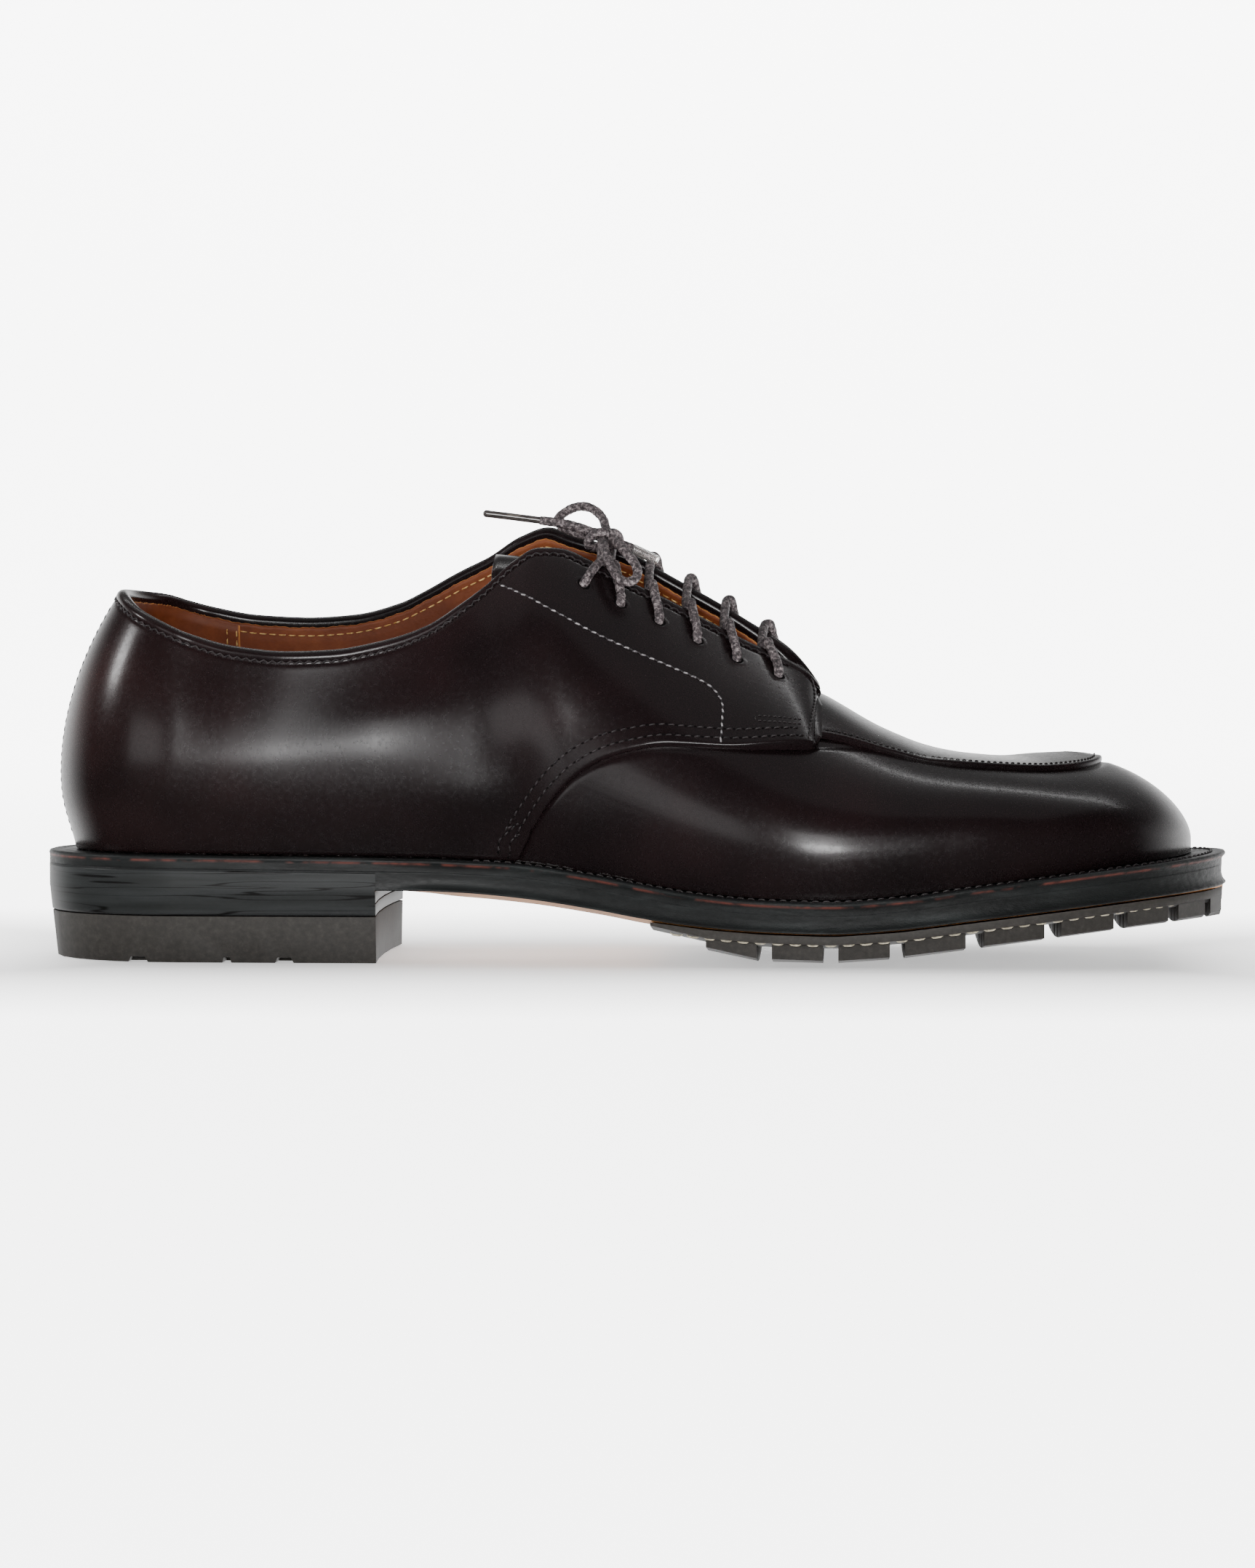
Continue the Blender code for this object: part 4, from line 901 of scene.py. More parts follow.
def quarter_line(side, count=160):
    """The quarter's lower edge as x and arc length from the foot."""
    x = np.concatenate(
        [np.linspace(QUARTER_FOOT_X, -0.012, count // 2)[:-1], np.linspace(-0.012, THROAT_X, count // 2)]
    )
    p = place_of_x(x)
    share, length = overlay_line(p, side, np.zeros(len(p), bool))
    foot = curve_of(QUARTER_FOOT, 1, along_of(x)) * INSTEP_HEIGHT
    arc = np.where(foot < 0.0015, foot, share * length)
    return np.stack([x, arc], axis=1)


def shifted(line, distance):
    """A flat polyline moved sideways, to its left for a positive distance."""
    way = unit(np.gradient(line, axis=0))
    return line + np.stack([-way[:, 1], way[:, 0]], axis=1) * distance


def quarter_lift(x, vamp=False):
    """Height of a panel's face over the last: one leather, or two where quarter and vamp overlap."""
    if vamp:
        return np.full(np.shape(x), OVERLAY)
    return OVERLAY * (1 + ramp(x, THROAT_X - 0.022, THROAT_X - 0.004))


def creases(side, x, z):
    """Soft troughs and ridges of the outer side, in metres at x and height z.

    Each is a bell: its height times e to the minus of the squared distances along and across
    it, in half lengths and half widths.
    """
    rows = (
        # x, z, half length, half width, turn in degrees, height
        (-0.028, 0.0400, 0.0060, 0.0140, -12.0, -0.0011),
        (0.0560, 0.0335, 0.0050, 0.0007, -34.0, -0.00014),
        (0.0600, 0.0320, 0.0055, 0.0007, -30.0, -0.00016),
        (0.0640, 0.0315, 0.0045, 0.0006, -38.0, -0.00013),
        (0.0585, 0.0290, 0.0040, 0.0006, -22.0, -0.00012),
        (-0.014, 0.0330, 0.0110, 0.0080, -20.0, 0.0006),
        (-0.044, 0.0420, 0.0160, 0.0075, 4.0, 0.0006),
        (-0.060, 0.0620, 0.0200, 0.0060, 12.0, 0.0003),
        (-0.085, 0.0600, 0.0180, 0.0140, 0.0, -0.0003),
    )
    out = np.zeros(np.shape(x))
    if side > 0:
        return out
    for cx, cz, long, wide, turn, high in rows:
        c, s = math.cos(math.radians(turn)), math.sin(math.radians(turn))
        a = ((x - cx) * c + (z - cz) * s) / long
        b = (-(x - cx) * s + (z - cz) * c) / wide
        out = out + high * np.exp(-(a**2) - b**2)
    return out


def panel(side, p, vamp, share, lift):
    """A skin over the last: its points moved out, square to it, by the lift plus the creases."""
    points, normal = outside(p, side, np.full(len(p), vamp), share)
    fold = creases(side, points[..., 0], points[..., 2])
    return points + normal * (lift + fold)[..., None]


def build_quarter(side, look):
    """One quarter from the heel seam to the facing's front edge, with its rounded edges."""
    p = np.concatenate(
        [
            np.linspace(0, HEEL_SHARE, 61)[:-1],
            place_of_x(np.linspace(HEEL_X, QUARTER_FOOT_X - 0.001, 111)[:-1]),
            place_of_x(np.linspace(QUARTER_FOOT_X - 0.001, THROAT_X + 0.0022, 130)),
        ]
    )
    vamp = np.zeros(len(p), bool)
    line, length = overlay_line(p, side, vamp)
    x = plan_place(p)[0]
    foot = curve_of(QUARTER_FOOT, 1, along_of(np.clip(x, None, THROAT_X))) * INSTEP_HEIGHT / length
    line = np.where(x < QUARTER_FOOT_X, 0.0, np.where(foot < 0.08, foot, line))
    smooth = np.clip(eased(line * length, 4), 0.0, None) / length
    line = np.where(x < QUARTER_FOOT_X + 0.004, line, smooth)
    low = np.array([0.0, 0.0, 0.25, 0.6, 1.1]) * 1e-3
    low_lift = np.array([-0.2, 0.35, 0.78, 0.97, 1.0])
    body = np.linspace(0, 1, 74)[1:-1]
    high = np.array([4.2, 3.4, 2.9, 2.5, 2.0, 1.4, 0.8, 0.3, 0.0, 0.0, 0.0, 0.3, 0.9, 1.8, 2.8]) * 1e-3
    share = np.concatenate(
        [
            line[:, None] + low / length[:, None],
            line[:, None]
            + 1.1e-3 / length[:, None]
            + (1 - line - 5.3e-3 / length)[:, None] * body,
            1 - high / length[:, None],
        ],
        axis=1,
    )
    face = quarter_lift(x)[:, None]
    bead = np.array([0, -0.05, -0.25, 0.05, 0.3, 0.42, 0.36, 0.1]) * 1e-3
    top = np.concatenate([face + bead, face - 0.5e-3, face * 0.2, np.full_like(face, -0.9e-3)], axis=1)
    inside = -WALL + np.array([0.25, 0.0, 0.0, 0.05]) * 1e-3
    lift = np.concatenate(
        [face * low_lift, np.repeat(face, len(body), axis=1), top, np.broadcast_to(inside, (len(p), 4))],
        axis=1,
    )
    points = panel(side, p, False, np.clip(share, 0, 1), lift)
    rows = section(p, side, vamp)
    beyond = unit(rows[:, -1] - rows[:, -3])
    cap = np.zeros(share.shape[1])
    cap[-7:-4] = np.array([0.25, 0.45, 0.35]) * 1e-3
    points = points + beyond[:, None, :] * cap[None, :, None]
    points = front_edge(points, side)
    return add_grid(
        "quarter_outer" if side < 0 else "quarter_inner", points, look, "burgundy_leather", flip=side < 0
    )


def front_edge(points, side):
    """Moves a quarter's last columns so that its front edge bows forward over the throat."""
    columns = 26
    share = np.linspace(0, 1, points.shape[1])
    bow = np.interp(share, [0, 0.12, 0.35, 0.62, 0.85, 1.0], [0.9, 1.0, 1.0, 1.0, 0.92, 0.75])
    start = points.shape[0] - columns
    out = points.copy()
    for k in range(columns):
        at = start + k * bow
        i = np.clip(at.astype(int), 0, points.shape[0] - 2)
        t = (at - i)[:, None]
        r = np.arange(points.shape[1])
        out[start + k] = points[i, r] * (1 - t) + points[i + 1, r] * t
    normal = unit(np.cross(out[-1] - out[-3], np.gradient(out[-2], axis=0))) * -side
    for back, drop in ((1, 1.0), (2, 0.3)):
        out[-back] -= normal * EDGE_ROUND * 1.6 * drop
    return out


def eased_joins(points, x, spread=6):
    """A grid smoothed where the throat's and the toe's sections meet."""
    near = np.exp(-(((x - 0.036) / 0.034) ** 4)) + np.exp(-(((x - TOE_X) / 0.020) ** 2))
    return points + (eased(points, spread) - points) * np.clip(near, 0, 1)[:, None, None]


def build_vamp(side, look):
    """The vamp's side from under the quarter round the toe, up to under the apron.

    The sections that end on the facing pass smoothly into those that end on the ridge.
    """
    p = to_toe(QUARTER_FOOT_X - 0.004, 190, 121)
    x = plan_place(p)[0]
    sheets = []
    for vamp in (False, True):
        line, length = overlay_line(p, side, np.full(len(p), vamp))
        if vamp:
            line, length = apron_line(side, p)
        else:
            low = curve_of(QUARTER_FOOT, 1, along_of(x)) * INSTEP_HEIGHT / length
            line = np.where(low < 0.08, low, line)
        top = np.clip(eased(line * length, 4), 0.0, None) + 0.003
        share = (top / length)[:, None] * np.linspace(0, 1, 80)
        below = (line * length)[:, None] - share * length[:, None]
        pinch = 0.00035 * np.exp(-((below / 0.0012) ** 2))
        sheets.append(panel(side, p, vamp, np.clip(share, 0, 1), -pinch))
    blend = ramp(x, THROAT_X - 0.006, THROAT_X + 0.014)[:, None, None]
    points = eased_joins(np.where(blend < 1, sheets[0], sheets[1]) * (1 - blend) + sheets[1] * blend, x, 12)
    name = "vamp_outer" if side < 0 else "vamp_inner"
    add_grid(name, points, look, "burgundy_leather", flip=side < 0)


def apron_line(side, p):
    """The apron's edge as a share of each section, led to the quarter's corner at the throat."""
    line, length = overlay_line(p, side, np.ones(len(p), bool))
    arc = line * length
    if side > 0:
        x = plan_place(p)[0]
        foot = float(welt_z(THROAT_X) + INSTEP_HEIGHT * QUARTER_FOOT[-1, 1])
        corner = arc_of_height(side, [THROAT_X], [foot], True)[0][0]
        arc = arc + (corner - arc) * (1 - ramp(x, THROAT_X - 0.002, THROAT_X + 0.040))
    return eased(arc, 3) / length, length


def apron_half(side, p):
    """Half of the apron, from its rounded edge to the ridge."""
    line, length = apron_line(side, p)
    low = np.array([0.0, 0.0, 0.18, 0.45, 0.9, 1.5]) * 1e-3
    lift = np.array([-0.3, 0.45, 0.86, 1.08, 1.12, 1.06])
    body = np.linspace(0, 1, 46)[1:]
    start = line + 2.0e-3 / length
    share = np.concatenate(
        [line[:, None] + low / length[:, None], start[:, None] + (1 - start)[:, None] * body], axis=1
    )
    rise = OVERLAY * np.concatenate([lift, np.ones(len(body))])
    return panel(side, p, True, np.clip(share, 0, 1), np.broadcast_to(rise, share.shape))


def build_apron(look):
    """The apron: both halves joined along the ridge."""
    p = to_toe(THROAT_X - 0.008, 90, 121)
    outer = apron_half(-1, p)
    inner = apron_half(1, p)
    ridge = (outer[:, -1] + inner[:, -1]) / 2
    points = np.concatenate([outer[:, :-1], ridge[:, None], inner[:, -2::-1]], axis=1)
    points = eased_joins(points, plan_place(p)[0])
    add_grid("apron", points, look, "burgundy_leather", flip=True)


def build_lining(side, look):
    """The tan lining inside one quarter, its raw edge a little below the rolled collar."""
    p = from_heel(0, 61, THROAT_X, 180)
    vamp = np.zeros(len(p), bool)
    rows = section(p, side, vamp)
    length = row_length(rows)
    ragged = 0.00012 * np.sin(p * 900) + 0.00010 * np.sin(p * 2230 + 1)
    top = 1 - (0.0019 + ragged) / length
    share = 0.02 + (top - 0.02)[:, None] * np.linspace(0, 1, 70)
    share = np.concatenate([share, top[:, None], top[:, None] - 0.0002 / length[:, None]], axis=1)
    inward = np.concatenate([np.full(70, 0.0), [-0.0007, -0.0012]])
    inward[66:70] = -0.0001
    gap = WALL + LINING_GAP + inward
    points, normal = outside(p, side, vamp, share)
    points = points - normal * gap[None, :, None]
    raw = np.broadcast_to(np.array([0.0] * 70 + [1.0, 1.0]), points.shape[:2])
    name = "lining_outer" if side < 0 else "lining_inner"
    add_grid(name, points, look, "tan_leather", flip=side > 0, attribute=raw)


def build_tongue(look):
    """The tongue as a thick leaf on a fine grid, its cut edges rounded.

    Across, it drops with the square of the distance from its middle. Where the facings' underside
    is lower, half the sum of both less the root of their squared difference keeps it below.
    """
    x = np.linspace(TONGUE_ROOT_X, TONGUE_TIP_X, 70)
    share = np.linspace(-1, 1, 41)
    taper = 1 - TONGUE_ROOT_TAPER * ramp(x, THROAT_X - 0.02, TONGUE_ROOT_X)
    off = share[None, :] * TONGUE_HALF_WIDTH * taper[:, None]
    middle = welt_z(x) + INSTEP_HEIGHT * curve_of(TONGUE, 1, along_of(x))
    free = middle[:, None] - TONGUE_ARCH * off**2
    roof = np.minimum(lining_height(x, TONGUE_Y + off, TONGUE_GAP), free + 0.02)
    z = (free + roof - np.sqrt((free - roof) ** 2 + TONGUE_GAP**2)) / 2
    top = np.stack([np.broadcast_to(x[:, None], off.shape), TONGUE_Y + off, z], axis=-1)
    low = top - np.array([0.0, 0.0, TONGUE_THICKNESS])
    outer_rim = top[:, :1] - (0, TONGUE_RIM, TONGUE_THICKNESS / 2)
    inner_rim = top[:, -1:] - (0, -TONGUE_RIM, TONGUE_THICKNESS / 2)
    ring = np.concatenate([top, inner_rim, low[:, ::-1], outer_rim], axis=1)
    opposite = np.concatenate([low[-1], inner_rim[-1], top[-1][::-1], outer_rim[-1]])
    tip = ring[-1:] - (TONGUE_RIM, 0, 0)
    tip[..., 2] = (ring[-1:, :, 2] + opposite[:, 2]) / 2
    ring = np.concatenate([ring, tip], axis=0)
    piece = add_grid("tongue_leaf", ring, look, "burgundy_leather", wrap=True)
    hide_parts("tongue")


def fine_places():
    """Places for a fine loop, closest together round the toe and the heel."""
    return np.concatenate(
        [
            np.linspace(0, HEEL_SHARE, 49)[:-1],
            np.linspace(HEEL_SHARE, TOE_SHARE, 181)[:-1],
            np.linspace(TOE_SHARE, 1, 97),
        ]
    )


def around(profile):
    """Loops of a profile carried once round the sole's edge, outer side first."""
    loops = []
    for side, places in ((-1, fine_places()), (1, fine_places()[1:-1][::-1])):
        x = plan_place(places)[0]
        rows = [
            edge_point(places, side, inset(x) if callable(inset) else inset, height)
            for inset, height in profile
        ]
        loops.append(np.stack(rows, axis=1))
    loops = np.concatenate(loops)
    return np.concatenate([loops, loops[:1]])


def below_welt(drop):
    """Height of a line that lies a drop below the welt's top."""
    return lambda x: welt_z(x) - drop


def edge_height(share):
    """Height at a share of the midsole's edge, from its top to its foot."""
    return lambda x: (welt_z(x) - WELT_THICKNESS) * (1 - share) + bottom_z(x) * share


def at_heel(inset, heel):
    """An inset that passes to another one over the heel, where the edge is trimmed flush."""
    return lambda x: heel + (inset - heel) * ramp(x, BREAST_X - 0.004, BREAST_X + 0.022)


def build_welt(look):
    """The welt with a rounded outer lip over a narrow worn groove."""
    flush = LIP * 0.4
    rows = [
        # inset, the same at the heel, drop under the welt's top, worn
        (WELT_WIDTH, WELT_WIDTH, WELT_THICKNESS - CLEARANCE, 0),
        (WELT_WIDTH, WELT_WIDTH, 0.0, 0),
        (0.0060, 0.0060, 0.0, 0),
        (0.0042, 0.0042, 0.0, 0),
        (0.0036, 0.0036, 0.00025, 0),
        (0.0030, 0.0030, 0.0, 0),
        (0.0016, 0.0016, -0.00005, 0),
        (0.0008, 0.0010, 0.0, 0),
        (0.0003, 0.0005, 0.00014, 0),
        (0.00005, flush * 0.8, 0.00045, 0),
        (0.0, flush * 0.6, 0.0008, 0.15),
        (0.00015, flush * 0.9, 0.0011, 1.0),
        (0.00045, flush, 0.00135, 0.6),
        (LIP * 0.85, flush, 0.0017, 0),
        (LIP, flush, 0.0021, 0),
        (LIP, flush, WELT_THICKNESS + 0.00002, 0),
    ]
    profile = [(at_heel(inset, heel), below_welt(drop)) for inset, heel, drop, _ in rows]
    points = around(profile)
    shade = np.broadcast_to(np.array([row[3] for row in rows]), points.shape[:2])
    piece = add_grid("welt_strip", points, look, "sole_leather", flip=True, attribute=shade)
    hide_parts("welt")


def build_midsole(look, under_look):
    """The leather sole's hollow edge between its lips, and its bowed natural underside."""
    profile = [(WELT_WIDTH, edge_height(0.0))]
    edge = (
        # share of the height, inset as a share of LIP
        (0.0, 1.0),
        (0.08, 1.02),
        (0.2, 1.06),
        (0.35, 1.1),
        (0.5, 1.06),
        (0.62, 0.92),
        (0.72, 0.7),
        (0.8, 0.42),
        (0.86, 0.15),
        (0.9, -0.08),
        (0.94, -0.16),
        (0.97, -0.1),
        (1.0, 0.15),
        (1.0, 0.6),
    )
    for share, inset in edge:
        profile.append((at_heel(LIP * inset, LIP * 0.4), edge_height(share)))
    points = around(profile)
    piece = add_grid(
        "midsole_edge", points, look, "sole_leather", flip=True, attribute=np.zeros(points.shape[:2])
    )
    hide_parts("midsole")
    p = fine_places()[1:-1]
    shares = np.linspace(-1, 1, 41)
    under = across(p, LIP * 0.6, shares)
    z = bottom_z(under[..., 0]) - camber_drop(p[:, None], shares[None, :])
    under = np.concatenate([under, z[..., None]], axis=-1)
    add_grid("midsole_under", under, under_look, "sole_leather")


# Materials


def set_inputs(tree, node, values):
    """Sets a node's inputs to numbers or colours, or links them to another node's output."""
    for name, value in values.items():
        if isinstance(value, bpy.types.NodeSocket):
            tree.links.new(value, node.inputs[name])
        else:
            node.inputs[name].default_value = value


def add_node(tree, kind, inputs=None, **settings):
    """A new node with its settings and inputs."""
    node = tree.nodes.new("ShaderNode" + kind)
    for name, value in settings.items():
        setattr(node, name, value)
    set_inputs(tree, node, inputs or {})
    return node


def new_look(name):
    """A material, its tree, its shader and the place on the piece in metres."""
    material = bpy.data.materials.new(name)
    material.use_nodes = True
    tree = material.node_tree
    place = add_node(tree, "TexCoord").outputs["Object"]
    return material, tree, tree.nodes["Principled BSDF"], place


def noise(tree, place, scale, detail=3.0, rough=0.55, stretch=None):
    """Random cloud of values, drawn out along an axis where its stretch is below one."""
    if stretch:
        place = add_node(tree, "Mapping", {"Vector": place, "Scale": stretch}).outputs["Vector"]
    return add_node(
        tree, "TexNoise", {"Vector": place, "Scale": scale, "Detail": detail, "Roughness": rough}
    ).outputs["Fac"]


def ramp_colour(tree, value, stops):
    """Colours at shares of a value."""
    node = add_node(tree, "ValToRGB", {"Fac": value})
    ramp_of = node.color_ramp
    while len(ramp_of.elements) < len(stops):
        ramp_of.elements.new(0.5)
    for element, (at, code) in zip(ramp_of.elements, stops):
        element.position = at
        element.color = (*linear(code), 1.0)
    return node.outputs["Color"]


def overlaid(tree, share, under, code):
    """A colour laid over another as densely as the share says."""
    colours = {"Fac": share, "Color1": under, "Color2": (*linear(code), 1.0)}
    return add_node(tree, "MixRGB", colours).outputs["Color"]


def ramp_value(tree, value, low, high, start, end):
    """A number that goes from low to high as a value goes from start to end."""
    return add_node(
        tree,
        "MapRange",
        {"Value": value, "From Min": start, "From Max": end, "To Min": low, "To Max": high},
    ).outputs["Result"]


def bumped(tree, height, distance, strength=1.0, under=None):
    """The surface's direction after a relief, over another relief if one is given."""
    inputs = {"Height": height, "Distance": distance, "Strength": strength}
    if under is not None:
        inputs["Normal"] = under
    return add_node(tree, "Bump", inputs).outputs["Normal"]


def polished_leather():
    """Near-black burgundy with a waxed face: a smooth mirror with fine pores, browner at the heel as a
    painted reflection of the pale floor.
    """
    material, tree, shader, place = new_look("polished_burgundy")
    cloud = noise(tree, place, 30.0, 2.0)
    front = ramp_colour(tree, cloud, [(0.30, "#0f0a0b"), (0.55, "#140d0e"), (0.78, "#1a1011")])
    # Painted reflection: the heel's browner tones stand in for the pale floor's reflection there.
    back = ramp_colour(tree, cloud, [(0.30, "#130b0b"), (0.55, "#1b1010"), (0.78, "#261413")])
    x = add_node(tree, "SeparateXYZ", {"Vector": place}).outputs["X"]
    heel = ramp_value(tree, x, 1.0, 0.0, -0.145, -0.080)
    mix = add_node(tree, "MixRGB", {"Fac": heel, "Color1": front, "Color2": back}).outputs["Color"]
    dust = add_node(tree, "TexVoronoi", {"Vector": place, "Scale": 48.0}).outputs["Distance"]
    speck = ramp_value(tree, dust, 0.8, 0.0, 0.006, 0.016)
    colour = overlaid(tree, speck, mix, "#6f6664")
    grain = noise(tree, place, 1500.0, 3.0, 0.6)
    waves = noise(tree, place, 90.0, 1.0)
    rough = ramp_value(tree, noise(tree, place, 900.0, 2.0, 0.5), 0.22, 0.28, 0.35, 0.65)
    normal = bumped(tree, grain, 0.00004, 0.26, bumped(tree, waves, 0.0003, 0.05))
    set_inputs(
        tree,
        shader,
        {
            "Base Color": colour,
            "Roughness": rough,
            "Normal": normal,
            "Specular IOR Level": 0.27,
            "Coat Weight": 0.12,
            "Coat Roughness": 0.14,
        },
    )
    return material


def tan_leather():
    """Vegetable-tanned lining: warm brown with pores, rub marks and a dry face, paler at its raw edge; its
    brown is partly its own and partly darkened as painted shade inside the shoe.
    """
    material, tree, shader, place = new_look("tan_lining_painted_shade")
    cloud = noise(tree, place, 60.0, 5.0, 0.6)
    # Painted shade: these browns are darker than the lining's own, standing for the shade inside the shoe.
    face = ramp_colour(tree, cloud, [(0.28, "#55260f"), (0.5, "#6b3418"), (0.74, "#834724")])
    raw = add_node(tree, "Attribute", attribute_name="shade").outputs["Fac"]
    colour = overlaid(tree, raw, face, "#cf8b4e")
    grain = noise(tree, place, 1700.0, 3.0)
    normal = bumped(tree, grain, 0.00012, 0.5, bumped(tree, noise(tree, place, 240.0), 0.0003, 0.2))
    set_inputs(
        tree, shader, {"Base Color": colour, "Roughness": 0.58, "Normal": normal, "Specular IOR Level": 0.3}
    )
    return material


def sole_edge_look():
    """Waxed black sole edge: faintly blue, streaked along its length, crumbly from the waist forward.

    The shade attribute marks the worn red-brown line under the welt's lip.
    """
    material, tree, shader, place = new_look("sole_edge")
    streak = noise(tree, place, 420.0, 4.0, 0.6, (0.12, 0.12, 1.0))
    black = ramp_colour(tree, streak, [(0.3, "#131414"), (0.55, "#1b1d1d"), (0.8, "#282b2b")])
    worn = add_node(tree, "Attribute", attribute_name="shade").outputs["Fac"]
    patch = ramp_value(tree, noise(tree, place, 160.0, 3.0), 0.0, 0.8, 0.42, 0.58)
    shown = add_node(tree, "Math", {0: worn, 1: patch}, operation="MULTIPLY").outputs["Value"]
    colour = overlaid(tree, shown, black, "#5a2f28")
    x = add_node(tree, "SeparateXYZ", {"Vector": place}).outputs["X"]
    crumbly = ramp_value(tree, x, 0.15, 1.0, -0.040, 0.005)
    chips = noise(tree, place, 900.0, 5.0, 0.7, (0.5, 0.5, 1.0))
    height = add_node(tree, "Math", {0: chips, 1: crumbly}, operation="MULTIPLY").outputs["Value"]
    normal = bumped(tree, height, 0.0004, 0.7, bumped(tree, streak, 0.0003, 0.3))
    rough = ramp_value(tree, chips, 0.34, 0.52, 0.3, 0.7)
    set_inputs(
        tree,
        shader,
        {"Base Color": colour, "Roughness": rough, "Normal": normal, "Specular IOR Level": 0.22},
    )
    return material


def lift_look():
    """Stacked leather of the heel, waxed and trimmed: dark grey, with fine dark cracks along its layers."""
    material, tree, shader, place = new_look("heel_stack")
    streak = noise(tree, place, 300.0, 4.0, 0.6, (0.06, 0.06, 1.0))
    face = ramp_colour(tree, streak, [(0.3, "#1b1c1c"), (0.5, "#222424"), (0.78, "#2b2d2e")])
    layer = noise(tree, place, 210.0, 3.0, 0.55, (0.035, 0.035, 1.0))
    away = add_node(tree, "Math", {0: layer, 1: 0.5}, operation="SUBTRACT").outputs["Value"]
    away = add_node(tree, "Math", {0: away}, operation="ABSOLUTE").outputs["Value"]
    crack = ramp_value(tree, away, 1.0, 0.0, 0.004, 0.012)
    colour = overlaid(tree, crack, face, "#0a0909")
    normal = bumped(tree, streak, 0.0002, 0.3)
    set_inputs(
        tree, shader, {"Base Color": colour, "Roughness": 0.40, "Normal": normal, "Specular IOR Level": 0.25}
    )
    return material


def rubber_look():
    """Moulded rubber: dark olive grey, matt, with fine specks."""
    material, tree, shader, place = new_look("olive_rubber")
    cloud = noise(tree, place, 700.0, 5.0, 0.7)
    colour = ramp_colour(tree, cloud, [(0.35, "#2b2926"), (0.55, "#322f2c"), (0.8, "#3d3a36")])
    normal = bumped(tree, noise(tree, place, 1300.0, 3.0), 0.0001, 0.3)
    set_inputs(
        tree, shader, {"Base Color": colour, "Roughness": 0.62, "Normal": normal, "Specular IOR Level": 0.35}
    )
    return material


def natural_leather():
    """Undyed sole leather under the waist: straw brown with a faint grain."""
    material, tree, shader, place = new_look("natural_sole")
    cloud = noise(tree, place, 90.0, 5.0, 0.6, (0.4, 1.0, 1.0))
    colour = ramp_colour(tree, cloud, [(0.3, "#8f5a2b"), (0.55, "#b37a41"), (0.8, "#c9955a")])
    normal = bumped(tree, noise(tree, place, 900.0), 0.00015, 0.4)
    set_inputs(
        tree, shader, {"Base Color": colour, "Roughness": 0.55, "Normal": normal, "Specular IOR Level": 0.35}
    )
    return material


def thread_look(name, low, high):
    """Waxed thread between two tones, with a fine twist that breaks up its shine."""
    material, tree, shader, place = new_look(name)
    colour = ramp_colour(tree, noise(tree, place, 1200.0, 2.0), [(0.35, low), (0.65, high)])
    normal = bumped(tree, noise(tree, place, 4000.0, 2.0), 0.0001, 0.6)
    set_inputs(tree, shader, {"Base Color": colour, "Roughness": 0.42, "Normal": normal})
    return material


def hole_shade_look():
    """Painted shade of needle holes and of the inside of an eyelet: black with no shine."""
    material, tree, shader, place = new_look("painted_hole_shade")
    # Near-black and matt: the painted shade of a hole.
    shade = ramp_colour(tree, noise(tree, place, 900.0), [(0.3, "#050404"), (0.7, "#0d0a0a")])
    set_inputs(tree, shader, {"Base Color": shade, "Roughness": 0.9, "Specular IOR Level": 0.1})
    return material


def wax_look():
    """Black finishing wax in the joint over the welt: lumpy, with broken glints."""
    material, tree, shader, place = new_look("black_wax")
    lumps = noise(tree, place, 700.0, 5.0, 0.7)
    shade = ramp_colour(tree, lumps, [(0.3, "#0b0909"), (0.6, "#1a1414"), (0.8, "#3a2a28")])
    normal = bumped(tree, lumps, 0.0006, 0.8)
    set_inputs(tree, shader, {"Base Color": shade, "Roughness": 0.3, "Normal": normal})
    return material


def clear_tip_look():
    """Clear plastic film round a lace's end: see-through with a hard shine."""
    material, tree, shader, place = new_look("clear_film")
    cloud = noise(tree, place, 300.0, 2.0)
    tint = ramp_colour(tree, cloud, [(0.3, "#e6e1dc"), (0.7, "#f7f4f1")])
    set_inputs(
        tree,
        shader,
        {
            "Base Color": tint,
            "Roughness": 0.12,
            "Transmission Weight": 0.9,
            "IOR": 1.45,
        },
    )
    return material


def dark_tip_look():
    """The same film drawn tight over dark cotton: glossy, with faint streaks along it."""
    material, tree, shader, place = new_look("film_over_cotton")
    streak = noise(tree, place, 900.0, 4.0, 0.7, (0.15, 1.0, 1.0))
    shade = ramp_colour(tree, streak, [(0.35, "#1d1a19"), (0.55, "#393432"), (0.75, "#7d766c")])
    set_inputs(tree, shader, {"Base Color": shade, "Roughness": 0.2, "Coat Weight": 0.6})
    return material


def lace_look():
    """Waxed round cotton: grey-brown, finely braided, with light fibres and a waxy shine."""
    material, tree, shader, place = new_look("waxed_cotton")
    fibre = noise(tree, place, 1000.0, 5.0, 0.8)
    colour = ramp_colour(tree, fibre, [(0.38, "#1b1718"), (0.50, "#433b3d"), (0.62, "#8c8282")])
    braid = add_node(tree, "TexVoronoi", {"Vector": place, "Scale": 1600.0}).outputs["Distance"]
    normal = bumped(tree, fibre, 0.0003, 0.8, bumped(tree, braid, 0.0004, 0.8))
    set_inputs(
        tree, shader, {"Base Color": colour, "Roughness": 0.5, "Normal": normal, "Specular IOR Level": 0.45}
    )
    return material


# Camera, light and floor

camera = bpy.data.objects.new("camera", bpy.data.cameras.new("camera"))
bpy.context.scene.collection.objects.link(camera)
camera.data.sensor_fit = "VERTICAL"
camera.data.sensor_height = 36.0
camera.data.lens = 93.34
camera.location = (0.05368, -1.0583 + CENTRE_Y, 0.0854)
pitch, turned = math.radians(2.21), math.radians(3.0)
way = Vector((-math.sin(turned) * math.cos(pitch), math.cos(turned) * math.cos(pitch), -math.sin(pitch)))
camera.rotation_euler = way.to_track_quat("-Z", "Y").to_euler()
bpy.context.scene.camera = camera


